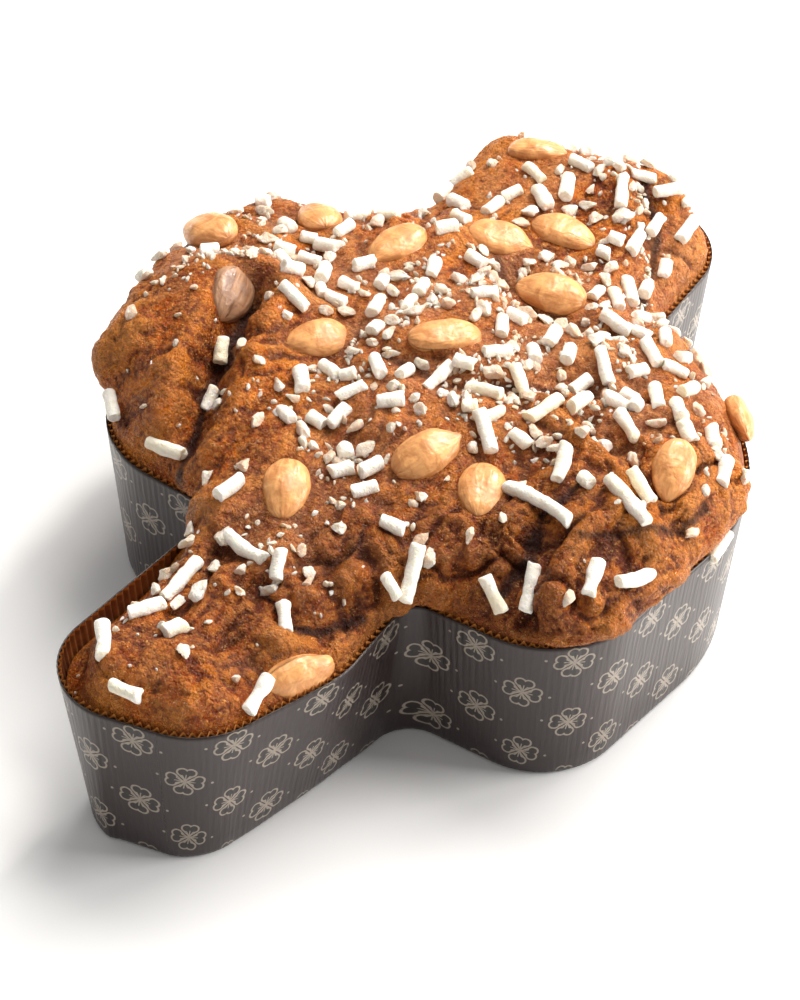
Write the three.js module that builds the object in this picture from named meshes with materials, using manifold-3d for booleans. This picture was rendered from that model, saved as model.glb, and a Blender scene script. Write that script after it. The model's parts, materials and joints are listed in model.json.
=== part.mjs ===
// Colomba: an Easter dove cake in its fluted paper case, with whole almonds and pearl sugar on the crust.
// Millimetres, +Z up. The origin is under the middle of the cake, on the surface that the case stands on.
// -Y is the narrow head of the dove, +Y its round tail, and -X and +X are its two wings.
import * as THREE from 'three';
import Module from 'manifold-3d';

const manifold = await Module();
manifold.setup();

// ---------------------------------------------------------------- driving dimensions: the paper case
const RIM_HEIGHT = 62;
const WALL = 1.0; // paper case, wall and floor
const GAP = 0.3; // clearance between pieces that touch
const TAPER = 5; // how far the wall leans in between rim and foot
const HEAD_TAPER = 4; // more lean at the sides of the head
const FOOT_ROUND = 2.5; // rounded fold between wall and floor
const CHORD = 9.5; // longest step round the outline

// Rim outline, counter-clockwise from above: x, y and corner radius. The dove's head turns a little to -X.
const RIM_CORNERS = [
  [20.5, -151, 28], [38.9, -104, 40], [38, -66.5, 7], // head and neck, right
  [96, -65, 41], [111.5, 44, 70], // right wing, front and back
  [39, 92, 9], [38, 149, 44], // waist and tail, right
  [-52, 149, 46], [-44, 90, 9], // tail and waist, left
  [-115, 63, 50], [-90, -62, 41], // left wing, back and front
  [-34, -66.5, 6], [-43.5, -163, 31], // neck and head, left
];

// Places where the cake pushes the rim out over the foot: x, y, radius, distance.
const PUSHED = [[37, -102, 25, 5.5]];

// ---------------------------------------------------------------- driving dimensions: the crust
const EDGE = 30; // width over which the crust rounds up from the rim
const BASE_RISE = 27; // height of the crown over the line where crust meets paper
const SINK = 4; // that line lies this far below the rim
const LIP_CLEAR = 0.45; // height over the rim at which the crust starts to hang out over it
// Masses of dough that rise higher or lower: x, y, radius, height.
const SWELLS = [
  [0, 12, 52, 9], [72, 2, 38, 3], [-74, 8, 34, 2],
  [-6, 114, 36, -2], [-8, -118, 42, -6], [-88, 48, 30, -7], [24, -116, 20, -7], [-38, 130, 26, -2], [14, 136, 34, 9],
];
// Places where the crust spills over the rim: x, y, radius, lip, bulge.
const SPILLS = [
  [98, -38, 34, 2.5, 7], [38, -66, 16, 2.5, 5], [-34, -66, 20, 2.5, 5],
  [-106, -12, 38, 2, 13], [-110, 46, 36, 1.5, 7], [-54, 110, 36, 2, 10], [108, 8, 28, 2, 4],
];
// Places where the crust has shrunk away from the paper: x, y, radius, gap at the rim, drop.
const SHRUNK = [[-56, -122, 46, 7, 3]];
// Folds between the pieces of dough: points along the fold, then its half width and depth.
const FOLDS = [
  { path: [[-66, 2], [-62, -21], [-55, -42], [-47, -66]], width: 6, depth: 11 },
  { path: [[10, 128], [24, 115], [32, 93], [43, 66]], width: 5, depth: 4 },
  { path: [[68, -16], [66, -33], [70, -48], [67, -62]], width: 5, depth: 5 },
  { path: [[79, -36], [90, -29], [99, -15], [102, 4]], width: 4, depth: 4 },
  { path: [[-12, -1], [9, -4], [31, 8], [50, 25]], width: 5, depth: 3.5 },
  { path: [[5, -98], [18, -103], [28, -98], [34, -88]], width: 5, depth: 5 },
  { path: [[58, 8], [80, 0], [93, -8]], width: 4, depth: 3 },
  { path: [[-14, 66], [12, 48], [35, 47], [50, 60]], width: 6, depth: 3 },
];
const LUMPS = [[26, 2.4], [13, 1.3]]; // wave length and height of the rolling lumps of the crust
const LUMP_SEED = 11;
const CRUST_GRID = 8.8; // spacing of the points on the crown

// ---------------------------------------------------------------- driving dimensions: almonds
const ALMOND = { length: 23, width: 15.2, height: 9 };
const ALMOND_SUNK = 0.12; // depth of an almond's middle under the crust, in heights
const ALMOND_SIDES = 10;
// Almonds on the crust: x, y, heading of the pointed end in degrees, size, how far the almond stands off, and its roll.
const ALMONDS = [
  [-93, 27, 162, 1.1, 2], [-76, 56, 137, 1.0, 2], [-71, -2, -66, 1.02, 0], [-41, 50, -106, 0.98, 0],
  [-15, 74, 10, 1.0, 0], [0, 90, 0, 1.02, 0], [-28, 125, 15, 0.9, 1], [13.4, 57.5, -172, 1.05, 0],
  [-36, -5.5, -130, 1.02, 0], [1, 12, -140, 1.02, 0], [-8.2, -64.8, -62, 1.0, 0], [23, -32.5, 65, 1.05, 0],
  [43.8, -34.6, -63, 1.02, 0], [87, 4.4, -68, 0.93, 0], [86.4, 52.6, -62, 0.92, 3.2], [30.6, -115, 70, 1.12, -2, 35],
];

// ---------------------------------------------------------------- driving dimensions: pearl sugar
const ROD_RADIUS = 2.4;
const ROD_SIDES = 6;
// Rods that lie alone: x, y, heading in degrees, length, bend in degrees.
const LONE_RODS = [
  [34, -65, -54, 18, 0], [63, -31, -9, 25, 28], [82, -16, -22, 20, 6], [84, -9, -9, 12, 0],
  [72, -54, -87, 15, 0], [64, -60, -65, 12, 0], [92, -33, 42, 18, -20], [84, -42, -67, 12, 0],
  [106, 9, -70, 12, 0], [95, 18, -67, 11, 0], [24, -128, -71, 13, 0], [-23, -142, -53, 14, 12],
  [-19, -124, 64, 12, 10], [-18, -107, 88, 18, 0], [-7, -90, -15, 17, -20], [16, -103, -49, 10, 0],
  [-57, -60, 10, 14, 0], [-86, -49, -56, 12, 0], [61, -15, -70, 13, 24], [34, -17, -44, 15, 0],
];
// Sizes of scattered sugar, largest first: how many, shortest and longest, and the free space kept round each.
const SCATTER = [
  { kind: 'rod', count: 14, shortest: 11, longest: 14.5, room: 10.5 },
  { kind: 'rod', count: 58, shortest: 7, longest: 10.5, room: 7.8 },
  { kind: 'grain', count: 64, shortest: 4, longest: 5.4, room: 5.4 },
];
const SCATTER_SEED = 2024;
// Where the sugar lies thickest: x, y, radius, share.
const SUGARED = [
  [4, 18, 50, 1.0], [8, 92, 46, 1.0], [62, 32, 38, 0.85], [-48, 24, 34, 0.7],
  [4, -42, 30, 0.6], [-2, -78, 26, 0.5], [-94, 20, 30, 0.3], [-12, -128, 24, 0.12],
];

// ---------------------------------------------------------------- small helpers
const clamp = (v, lo, hi) => Math.min(hi, Math.max(lo, v));
const smooth = (v, lo, hi) => {
  const t = clamp((v - lo) / (hi - lo), 0, 1);
  return t * t * (3 - 2 * t);
};
const bump = (x, y, cx, cy, r) => Math.exp(-((x - cx) ** 2 + (y - cy) ** 2) / (r * r));
const radians = THREE.MathUtils.degToRad;

/** A repeatable stream of numbers between 0 and 1. */
function seededRandom(seed) {
  let state = seed >>> 0;
  return () => {
    state = (state + 0x6d2b79f5) >>> 0;
    let t = state;
    t = Math.imul(t ^ (t >>> 15), t | 1);
    t ^= t + Math.imul(t ^ (t >>> 7), t | 61);
    return ((t ^ (t >>> 14)) >>> 0) / 4294967296;
  };
}

/** A repeatable height between -1 and 1 at each point of a whole-number grid. */
function gridHeight(i, j, seed) {
  let h = Math.imul(i, 374761393) ^ Math.imul(j, 668265263) ^ Math.imul(seed, 974634777);
  h = Math.imul(h ^ (h >>> 13), 1274126177);
  return (((h ^ (h >>> 16)) >>> 0) / 4294967295) * 2 - 1;
}

/** Smooth rolling noise between -1 and 1. */
function rolling(x, y, seed) {
  const i = Math.floor(x);
  const j = Math.floor(y);
  const u = smooth(x - i, 0, 1);
  const v = smooth(y - j, 0, 1);
  const low = gridHeight(i, j, seed) * (1 - u) + gridHeight(i + 1, j, seed) * u;
  const high = gridHeight(i, j + 1, seed) * (1 - u) + gridHeight(i + 1, j + 1, seed) * u;
  return low * (1 - v) + high * v;
}

// ---------------------------------------------------------------- outline of the dove
/** Points round the rim with their outward directions: corners become arcs, with steps up to the chord. */
function rimOutline(chord) {
  const stations = [];
  const count = RIM_CORNERS.length;
  const arcs = RIM_CORNERS.map(([x, y, wanted], i) => {
    const corner = new THREE.Vector2(x, y);
    const before = new THREE.Vector2(...RIM_CORNERS[(i + count - 1) % count]).sub(corner);
    const after = new THREE.Vector2(...RIM_CORNERS[(i + 1) % count]).sub(corner);
    const half = Math.acos(before.clone().normalize().dot(after.clone().normalize())) / 2;
    const run = Math.min(wanted / Math.tan(half), 0.499 * before.length(), 0.499 * after.length());
    const radius = run * Math.tan(half);
    const bisector = before.clone().normalize().add(after.clone().normalize()).normalize();
    const centre = bisector.multiplyScalar(radius / Math.sin(half)).add(corner);
    const from = before.normalize().multiplyScalar(run).add(corner).sub(centre).angle();
    let turn = after.normalize().multiplyScalar(run).add(corner).sub(centre).angle() - from;
    turn = Math.atan2(Math.sin(turn), Math.cos(turn));
    return { centre, radius, from, turn };
  });
  for (let i = 0; i < count; i++) {
    const { centre, radius, from, turn } = arcs[i];
    const steps = Math.max(3, Math.ceil((Math.abs(turn) * radius) / chord));
    const outward = Math.sign(turn);
    for (let k = 0; k <= steps; k++) {
      const angle = from + (turn * k) / steps;
      const nx = Math.cos(angle);
      const ny = Math.sin(angle);
      stations.push({ x: centre.x + radius * nx, y: centre.y + radius * ny, nx: nx * outward, ny: ny * outward });
    }
    const here = stations[stations.length - 1];
    const next = arcs[(i + 1) % count];
    const nextX = next.centre.x + next.radius * Math.cos(next.from);
    const nextY = next.centre.y + next.radius * Math.sin(next.from);
    const cuts = Math.ceil(Math.hypot(nextX - here.x, nextY - here.y) / chord);
    for (let k = 1; k < cuts; k++) {
      const share = k / cuts;
      stations.push({ ...here, x: here.x + (nextX - here.x) * share, y: here.y + (nextY - here.y) * share });
    }
  }
  return stations.filter((s, i) => {
    const before = stations[(i + stations.length - 1) % stations.length];
    return Math.hypot(s.x - before.x, s.y - before.y) > 0.5;
  });
}

const RIM = rimOutline(CHORD);
const FINE_RIM = rimOutline(2);

/** Is a point inside a closed outline? */
function isInside(x, y, outline) {
  let inside = false;
  for (let i = 0, j = outline.length - 1; i < outline.length; j = i++) {
    const a = outline[i];
    const b = outline[j];
    const crosses = a.y > y !== b.y > y && x < a.x + ((y - a.y) / (b.y - a.y)) * (b.x - a.x);
    if (crosses) inside = !inside;
  }
  return inside;
}

/** Distance from the rim, positive inside, and the direction straight out over the nearest point of the rim. */
function rimDistance(x, y) {
  let best = Infinity;
  let nearX = 0;
  let nearY = 0;
  for (let i = 0; i < FINE_RIM.length; i++) {
    const a = FINE_RIM[i];
    const b = FINE_RIM[(i + 1) % FINE_RIM.length];
    const dx = b.x - a.x;
    const dy = b.y - a.y;
    const t = clamp(((x - a.x) * dx + (y - a.y) * dy) / (dx * dx + dy * dy), 0, 1);
    const gapX = a.x + dx * t - x;
    const gapY = a.y + dy * t - y;
    const squared = gapX * gapX + gapY * gapY;
    if (squared < best) {
      best = squared;
      nearX = gapX;
      nearY = gapY;
    }
  }
  const distance = Math.sqrt(best);
  return isInside(x, y, FINE_RIM)
    ? { distance, nx: nearX / distance, ny: nearY / distance }
    : { distance: -distance, nx: -nearX / distance, ny: -nearY / distance };
}

// ---------------------------------------------------------------- form of the crust
/** How fully the crust spills over the rim near a point, with its lip and bulge there, or how far it has shrunk away. */
function spillAt(x, y) {
  let share = 0;
  let lip = 0;
  let bulge = 0;
  let drop = 0;
  for (const [cx, cy, r, l, b] of SPILLS) {
    const near = clamp(1.6 * bump(x, y, cx, cy, r), 0, 1);
    share = Math.max(share, near);
    const over = smooth(near, 0.6, 1);
    lip = Math.max(lip, l * over);
    bulge = Math.max(bulge, b * over);
  }
  for (const [cx, cy, r, gap, fall] of SHRUNK) {
    const near = smooth(1.6 * bump(x, y, cx, cy, r), 0.3, 1);
    lip -= gap * near;
    drop += fall * near;
  }
  return { raised: smooth(share, 0, 0.6), lip, bulge, drop };
}

/** Distance from a point to a path of straight runs. */
function pathDistance(x, y, path) {
  let best = Infinity;
  for (let i = 0; i + 1 < path.length; i++) {
    const [ax, ay] = path[i];
    const [bx, by] = path[i + 1];
    const dx = bx - ax;
    const dy = by - ay;
    const t = clamp(((x - ax) * dx + (y - ay) * dy) / (dx * dx + dy * dy), 0, 1);
    best = Math.min(best, Math.hypot(ax + dx * t - x, ay + dy * t - y));
  }
  return best;
}

/** Folds and lumps: what is added to the smooth crown. */
function relief(x, y) {
  let height = 0;
  for (const { path, width, depth } of FOLDS) {
    const d = pathDistance(x, y, path) / width;
    height += depth * (0.3 * Math.exp(-((d - 1.9) ** 2)) - Math.exp(-d * d));
  }
  LUMPS.forEach(([wave, size], k) => {
    height += size * rolling(x / wave + 40, y / wave + 40, LUMP_SEED + k);
  });
  return height;
}

const riseAt = (x, y) => SWELLS.reduce((sum, [cx, cy, r, h]) => sum + h * bump(x, y, cx, cy, r), BASE_RISE);
const CONTACT = WALL + GAP; // inset of the line where crust meets paper

/** The point of the crust that belongs to a point of the plan, pushed out where the crust spills over. */
function crustPoint(x, y, outward = rimDistance(x, y)) {
  const spill = spillAt(x, y);
  const along = clamp((outward.distance - CONTACT) / EDGE, 0, 1);
  const cosine = 1 - along;
  const sine = Math.sqrt(1 - cosine * cosine);
  const foot = -SINK + (SINK - 1) * spill.raised - spill.drop;
  const z = RIM_HEIGHT + foot + riseAt(x, y) * sine + relief(x, y) * smooth(outward.distance, CONTACT, 12);
  const push = spill.lip * smooth(sine, 0, 0.2) * (1 - smooth(sine, 0.3, 1)) + spill.bulge * 2 * sine * cosine;
  return new THREE.Vector3(x + outward.nx * push, y + outward.ny * push, z);
}

/** Direction straight out of the crust, taken over a step as wide as the thing that lies there. */
function crustNormal(x, y, step) {
  const east = crustPoint(x + step, y).sub(crustPoint(x - step, y));
  const north = crustPoint(x, y + step).sub(crustPoint(x, y - step));
  return east.cross(north).normalize();
}

/** Places a thing on the crust: its own +Z points out of the crust and its own +X along the heading. */
function crustFrame(x, y, heading, lift, step) {
  const out = crustNormal(x, y, step);
  const along = new THREE.Vector3(Math.cos(radians(heading)), Math.sin(radians(heading)), 0);
  along.addScaledVector(out, -along.dot(out)).normalize();
  const across = out.clone().cross(along);
  const place = crustPoint(x, y).addScaledVector(out, lift);
  return new THREE.Matrix4().makeBasis(along, across, out).setPosition(place);
}

// ---------------------------------------------------------------- closed meshes
/** Joins rings of equal length into bands of triangles, with the four-sided fields cut on one or the other diagonal. */
function bandFaces(ringStarts, count, isFalling = () => false) {
  const faces = [];
  for (let r = 0; r + 1 < ringStarts.length; r++) {
    const [low, high] = [ringStarts[r], ringStarts[r + 1]];
    for (let i = 0; i < count; i++) {
      const j = (i + 1) % count;
      if (isFalling(r)) faces.push([low + i, low + j, high + i], [low + j, high + j, high + i]);
      else faces.push([low + i, low + j, high + j], [low + i, high + j, high + i]);
    }
  }
  return faces;
}

function meshGeometry(points, faces) {
  const geometry = new THREE.BufferGeometry();
  geometry.setAttribute('position', new THREE.Float32BufferAttribute(points.flatMap((p) => [p.x, p.y, p.z]), 3));
  geometry.setIndex(faces.flat());
  return geometry;
}

/** Triangles over a set of plan points, by adding the points one at a time to a triangulation. */
function triangulatePlan(points) {
  const far = 4000;
  const all = [...points, { x: -far, y: -far }, { x: far, y: -far }, { x: 0, y: far }];
  const circled = (a, b, c) => {
    const [p, q, r] = [all[a], all[b], all[c]];
    const d = 2 * (p.x * (q.y - r.y) + q.x * (r.y - p.y) + r.x * (p.y - q.y));
    const [pp, qq, rr] = [p, q, r].map((v) => v.x * v.x + v.y * v.y);
    const x = (pp * (q.y - r.y) + qq * (r.y - p.y) + rr * (p.y - q.y)) / d;
    const y = (pp * (r.x - q.x) + qq * (p.x - r.x) + rr * (q.x - p.x)) / d;
    return { corners: [a, b, c], x, y, squared: (p.x - x) ** 2 + (p.y - y) ** 2 };
  };
  let triangles = [circled(points.length, points.length + 1, points.length + 2)];
  points.forEach((point, index) => {
    const edges = new Map();
    triangles = triangles.filter((t) => {
      if ((point.x - t.x) ** 2 + (point.y - t.y) ** 2 > t.squared) return true;
      for (let k = 0; k < 3; k++) {
        const [a, b] = [t.corners[k], t.corners[(k + 1) % 3]];
        if (!edges.delete(`${b} ${a}`)) edges.set(`${a} ${b}`, [a, b]);
      }
      return false;
    });
    for (const [a, b] of edges.values()) triangles.push(circled(a, b, index));
  });
  return triangles.map((t) => t.corners).filter((corners) => corners.every((c) => c < points.length));
}

/** Counter-clockwise triangles over plan points, inside the outline that the first of them draw. */
function planFaces(points, count = points.length) {
  // A hair's breadth aside, so that no four of them lie on one circle.
  const plan = points.map((p, i) => ({ x: p.x + 0.01 * gridHeight(i, 1, 1), y: p.y + 0.01 * gridHeight(i, 2, 1) }));
  const outline = plan.slice(0, count);
  return triangulatePlan(plan)
    .filter((t) => isInside(t.reduce((sum, k) => sum + plan[k].x / 3, 0), t.reduce((sum, k) => sum + plan[k].y / 3, 0), outline))
    .map(([a, b, c]) => {
      const [p, q, r] = [plan[a], plan[b], plan[c]];
      return (q.x - p.x) * (r.y - p.y) > (q.y - p.y) * (r.x - p.x) ? [a, b, c] : [a, c, b];
    });
}

// ---------------------------------------------------------------- paper case
/** How far the case leans in at a height, more at the sides of the head and where the rim is pushed out. */
function lean(station, z) {
  const headShare = smooth(-station.y, 60, 140) * Math.abs(station.nx);
  const pushed = PUSHED.reduce((sum, [cx, cy, r, d]) => sum + d * bump(station.x, station.y, cx, cy, r), 0);
  return (TAPER + HEAD_TAPER * headShare + pushed) * Math.max(0, 1 - z / RIM_HEIGHT);
}

/** The point of the wall beside a station of the rim, so far inside the wall's outer face. */
function wallPoint(station, inset, z) {
  const d = inset + lean(station, z);
  return new THREE.Vector3(station.x - station.nx * d, station.y - station.ny * d, z);
}

const ringAt = (inset, z) => RIM.map((station) => wallPoint(station, inset, z));

/** A stack of rings, closed by a flat face over the first and the last. Walls that face each other twist alike. */
function stackGeometry(rings) {
  const count = rings[0].length;
  const starts = rings.map((_, r) => r * count);
  const faces = bandFaces(starts, count, (r) => rings[r + 1][0].z < rings[r][0].z);
  const last = starts[starts.length - 1];
  for (const [a, b, c] of planFaces(rings[0])) faces.push([a, c, b]);
  for (const t of planFaces(rings[rings.length - 1])) faces.push(t.map((k) => last + k));
  return meshGeometry(rings.flat(), faces);
}

function caseGeometry() {
  const inner = WALL;
  return stackGeometry([
    ringAt(FOOT_ROUND, 0),
    ringAt(FOOT_ROUND * 0.25, FOOT_ROUND * 0.3),
    ringAt(0, FOOT_ROUND),
    ringAt(0, RIM_HEIGHT),
    ringAt(inner, RIM_HEIGHT),
    ringAt(inner, FOOT_ROUND + WALL),
    ringAt(inner + FOOT_ROUND * 0.9, WALL),
  ]);
}

// ---------------------------------------------------------------- bare cake
const EDGE_ANGLES = [16, 34, 54].map(radians); // where rings follow the rounded edge of the crust

function bareCakeGeometry() {
  const count = RIM.length;
  const insetPoint = (s, d) => ({ x: s.x - s.nx * d, y: s.y - s.ny * d });
  const edgeRing = (angle) =>
    RIM.map((s) => {
      const distance = CONTACT + EDGE * (1 - Math.cos(angle));
      const p = insetPoint(s, distance);
      return crustPoint(p.x, p.y, { distance, nx: s.nx, ny: s.ny });
    });
  const contactRing = edgeRing(0).map((p, i) => wallPoint(RIM[i], CONTACT, p.z));
  const lipRing = contactRing.map((p, i) => {
    const raised = spillAt(p.x, p.y).raised;
    return wallPoint(RIM[i], CONTACT, p.z + 0.4 + (1 + LIP_CLEAR - 0.4) * raised);
  });
  const rings = [
    ringAt(CONTACT + FOOT_ROUND * 0.9, WALL + GAP),
    ringAt(CONTACT, FOOT_ROUND + WALL + 2 * GAP),
    contactRing,
    lipRing,
    ...EDGE_ANGLES.map(edgeRing),
  ];
  const starts = rings.map((_, r) => r * count);
  const faces = bandFaces(starts, count);
  for (const [a, b, c] of planFaces(rings[0])) faces.push([a, c, b]);

  // The crown: the last ring's plan points, then a grid of points inside them.
  const crownEdge = CONTACT + EDGE * (1 - Math.cos(EDGE_ANGLES[EDGE_ANGLES.length - 1]));
  const plan = RIM.map((s) => insetPoint(s, crownEdge));
  const rowStep = CRUST_GRID * Math.sin(radians(60));
  for (let row = 0; row < Math.ceil(330 / rowStep); row++) {
    for (let column = -16; column <= 16; column++) {
      const x = (column + (row % 2) / 2) * CRUST_GRID;
      const y = -165 + row * rowStep;
      if (rimDistance(x, y).distance > crownEdge + 0.62 * CRUST_GRID) plan.push({ x, y });
    }
  }
  const lastStart = starts[starts.length - 1];
  for (const t of planFaces(plan, count)) faces.push(t.map((k) => lastStart + k));
  const points = [...rings.flat(), ...plan.slice(count).map((p) => crustPoint(p.x, p.y))];
  return meshGeometry(points, faces);
}

// ---------------------------------------------------------------- almonds
/** Half width of an almond along its length, -1 at the blunt end and 1 at the point, as a share of the widest. */
function almondProfile(s) {
  const widest = -0.18;
  const blunt = (s - widest) / (1 + widest);
  const pointed = (s - widest) / (1 - widest);
  return s < widest ? Math.sqrt(1 - blunt * blunt) : (1 - pointed ** 1.8) ** 0.8;
}

function almondGeometry(size, grown) {
  const stations = [-1, -0.8, -0.35, 0.2, 0.72, 1];
  const half = { x: (ALMOND.length * size) / 2 + grown, y: (ALMOND.width * size) / 2, z: (ALMOND.height * size) / 2 };
  const points = [new THREE.Vector3(-half.x, 0, 0)];
  for (const s of stations.slice(1, -1)) {
    const share = almondProfile(s);
    for (let k = 0; k < ALMOND_SIDES; k++) {
      const a = (2 * Math.PI * k) / ALMOND_SIDES;
      const [y, z] = [Math.cos(a) * (half.y * share + grown), Math.sin(a) * (half.z * share + grown)];
      points.push(new THREE.Vector3(half.x * s, y, z));
    }
  }
  points.push(new THREE.Vector3(half.x, 0, 0));
  const rings = stations.length - 2;
  const faces = bandFaces(Array.from({ length: rings }, (_, r) => 1 + r * ALMOND_SIDES), ALMOND_SIDES);
  const last = points.length - 1;
  for (let k = 0; k < ALMOND_SIDES; k++) {
    const next = (k + 1) % ALMOND_SIDES;
    faces.push([0, 1 + next, 1 + k]);
    faces.push([last, last - ALMOND_SIDES + k, last - ALMOND_SIDES + next]);
  }
  return meshGeometry(points, faces);
}

function almondFrame([x, y, heading, size, lift, roll = 0]) {
  const frame = crustFrame(x, y, heading, lift - ALMOND_SUNK * ALMOND.height * size, 5);
  return frame.multiply(new THREE.Matrix4().makeRotationX(radians(roll)));
}

// ---------------------------------------------------------------- pearl sugar
/** A rod of pressed sugar along X, broken off square at both ends, and bent sideways where it has a bend. */
function rodGeometry(length, radius, bend) {
  const stations = bend === 0 ? [-1, 1] : [-1, 0, 1];
  const rings = stations.map((s) => {
    const turn = (radians(bend) * s) / 2;
    const sag = (Math.cos(turn) - 1) * (bend === 0 ? 0 : length / radians(bend));
    return Array.from({ length: ROD_SIDES }, (_, k) => {
      const a = (2 * Math.PI * k) / ROD_SIDES;
      const side = Math.cos(a) * radius;
      return new THREE.Vector3(
        (s * length) / 2 - side * Math.sin(turn), sag + side * Math.cos(turn), Math.sin(a) * radius);
    });
  });
  const starts = rings.map((_, r) => r * ROD_SIDES);
  const faces = bandFaces(starts, ROD_SIDES);
  const last = starts[starts.length - 1];
  for (let k = 1; k + 1 < ROD_SIDES; k++) {
    faces.push([0, k + 1, k]);
    faces.push([last, last + k, last + k + 1]);
  }
  return meshGeometry(rings.flat(), faces);
}

/** A broken grain of sugar: a box-like lump with uneven corners. */
function grainGeometry(size, random) {
  const uneven = Array.from({ length: 6 }, () => 0.85 + 0.4 * random());
  const points = [[1, 0, 0], [-1, 0, 0], [0, 1, 0], [0, -1, 0], [0, 0, 1], [0, 0, -1]].map(
    ([x, y, z], k) => new THREE.Vector3(x, y, z).multiplyScalar((size / 2) * uneven[k]));
  const faces = [[0, 2, 4], [2, 1, 4], [1, 3, 4], [3, 0, 4], [2, 0, 5], [1, 2, 5], [3, 1, 5], [0, 3, 5]];
  return meshGeometry(points, faces);
}

const sugarShare = (x, y) =>
  clamp(SUGARED.reduce((most, [cx, cy, r, share]) => Math.max(most, share * bump(x, y, cx, cy, r)), 0), 0, 1);

/** Every piece of sugar: the rods that lie alone, then the scattered ones, each clear of almonds and of the others. */
function scatterSugar() {
  const random = seededRandom(SCATTER_SEED);
  const pieces = LONE_RODS.map(([x, y, heading, length, bend]) => ({
    kind: 'rod', x, y, heading, length, bend, radius: ROD_RADIUS, room: length * 0.5,
  }));
  const nearAlmond = (x, y, reach) =>
    ALMONDS.some(([ax, ay, heading, size]) => {
      const [dx, dy] = [x - ax, y - ay];
      const [c, s] = [Math.cos(radians(heading)), Math.sin(radians(heading))];
      const along = (dx * c + dy * s) / ((ALMOND.length * size) / 2 + reach);
      const across = (dy * c - dx * s) / ((ALMOND.width * size) / 2 + reach);
      return along * along + across * across < 1;
    });
  for (const { kind, count, shortest, longest, room } of SCATTER) {
    let placed = 0;
    for (let attempt = 0; attempt < count * 60 && placed < count; attempt++) {
      const x = -110 + 220 * random();
      const y = -155 + 310 * random();
      const chance = random();
      const heading = 360 * random();
      const length = shortest + (longest - shortest) * random();
      const bend = random() < 0.25 ? 40 * random() - 20 : 0;
      const radius = ROD_RADIUS * (0.85 + 0.25 * random());
      const grainSeed = Math.floor(random() * 1e6);
      if (chance > sugarShare(x, y) || rimDistance(x, y).distance < 5) continue;
      if (nearAlmond(x, y, kind === 'rod' ? length / 2 + 1 : length / 2 + 0.5)) continue;
      if (pieces.some((p) => Math.hypot(p.x - x, p.y - y) < (p.room + room) / 2)) continue;
      pieces.push({ kind, x, y, heading, length, bend, radius, room, grainSeed });
      placed++;
    }
  }
  return pieces;
}

/** The closed solid of one piece of sugar, where it lies. */
function sugarGeometry(piece) {
  if (piece.kind === 'rod') {
    const frame = crustFrame(piece.x, piece.y, piece.heading, piece.radius * 0.45, piece.length * 0.4);
    return rodGeometry(piece.length, piece.radius, piece.bend).applyMatrix4(frame);
  }
  const frame = crustFrame(piece.x, piece.y, piece.heading, piece.length * 0.12, 2);
  return grainGeometry(piece.length, seededRandom(piece.grainSeed)).applyMatrix4(frame);
}

// ---------------------------------------------------------------- joining
function toSolid(geometry) {
  const mesh = new manifold.Mesh({
    numProp: 3,
    vertProperties: new Float32Array(geometry.getAttribute('position').array),
    triVerts: new Uint32Array(geometry.getIndex().array),
  });
  return new manifold.Manifold(mesh);
}

function toGeometry(solid) {
  const { vertProperties, triVerts } = solid.getMesh();
  const geometry = new THREE.BufferGeometry();
  geometry.setAttribute('position', new THREE.Float32BufferAttribute(vertProperties, 3));
  geometry.setIndex(Array.from(triVerts));
  return geometry;
}

/** The cake with its sugar fused on, cut clear of the case's rim and hollowed where the almonds lie. */
function cakeGeometry() {
  const { union } = manifold.Manifold;
  const caseZone = toSolid(stackGeometry([ringAt(-GAP, -1), ringAt(-GAP, RIM_HEIGHT + GAP)]));
  const sugar = union(scatterSugar().map((piece) => toSolid(sugarGeometry(piece)))).subtract(caseZone);
  const hollows = ALMONDS.map((almond) => toSolid(almondGeometry(almond[3], GAP).applyMatrix4(almondFrame(almond))));
  const bodies = toSolid(bareCakeGeometry()).add(sugar).subtract(union(hollows)).decompose();
  bodies.sort((a, b) => b.volume() - a.volume());
  return toGeometry(bodies[0]); // loose scraps and sealed hollows are the smaller bodies
}

// ---------------------------------------------------------------- the object
const paper = new THREE.MeshStandardMaterial({ color: 0x4b4444, roughness: 0.6, metalness: 0 });
const crust = new THREE.MeshStandardMaterial({ color: 0x96552f, roughness: 0.55, metalness: 0 });
const nut = new THREE.MeshStandardMaterial({ color: 0xc8965f, roughness: 0.5, metalness: 0 });

function named(name, geometry, material) {
  const mesh = new THREE.Mesh(geometry, material);
  mesh.name = name;
  return mesh;
}

const colomba = new THREE.Group();
colomba.add(named('paper_case', caseGeometry(), paper));
colomba.add(named('cake', cakeGeometry(), crust));
ALMONDS.forEach((almond, i) => {
  const mesh = named(`almond_${String(i + 1).padStart(2, '0')}`, almondGeometry(almond[3], 0), nut);
  mesh.applyMatrix4(almondFrame(almond));
  colomba.add(mesh);
});

// The origin lies under the middle of the whole, on the foot of the case.
const box = new THREE.Box3().setFromObject(colomba);
colomba.position.set(-(box.min.x + box.max.x) / 2, -(box.min.y + box.max.y) / 2, -box.min.z);

export default colomba;
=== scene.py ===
"""Colomba: an Easter dove cake in its fluted paper case, with whole almonds and pearl sugar.

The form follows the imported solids: the same named sizes, functions and seeded draw give the crust, the almonds and
the sugar their places. Lengths are millimetres in the cake's own plan until a mesh is made, which is in metres.
"""
import json
import math

import bmesh
import bpy
import numpy as np
from mathutils import Matrix, Vector
from mathutils.bvhtree import BVHTree
from mathutils.geometry import delaunay_2d_cdt

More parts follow.
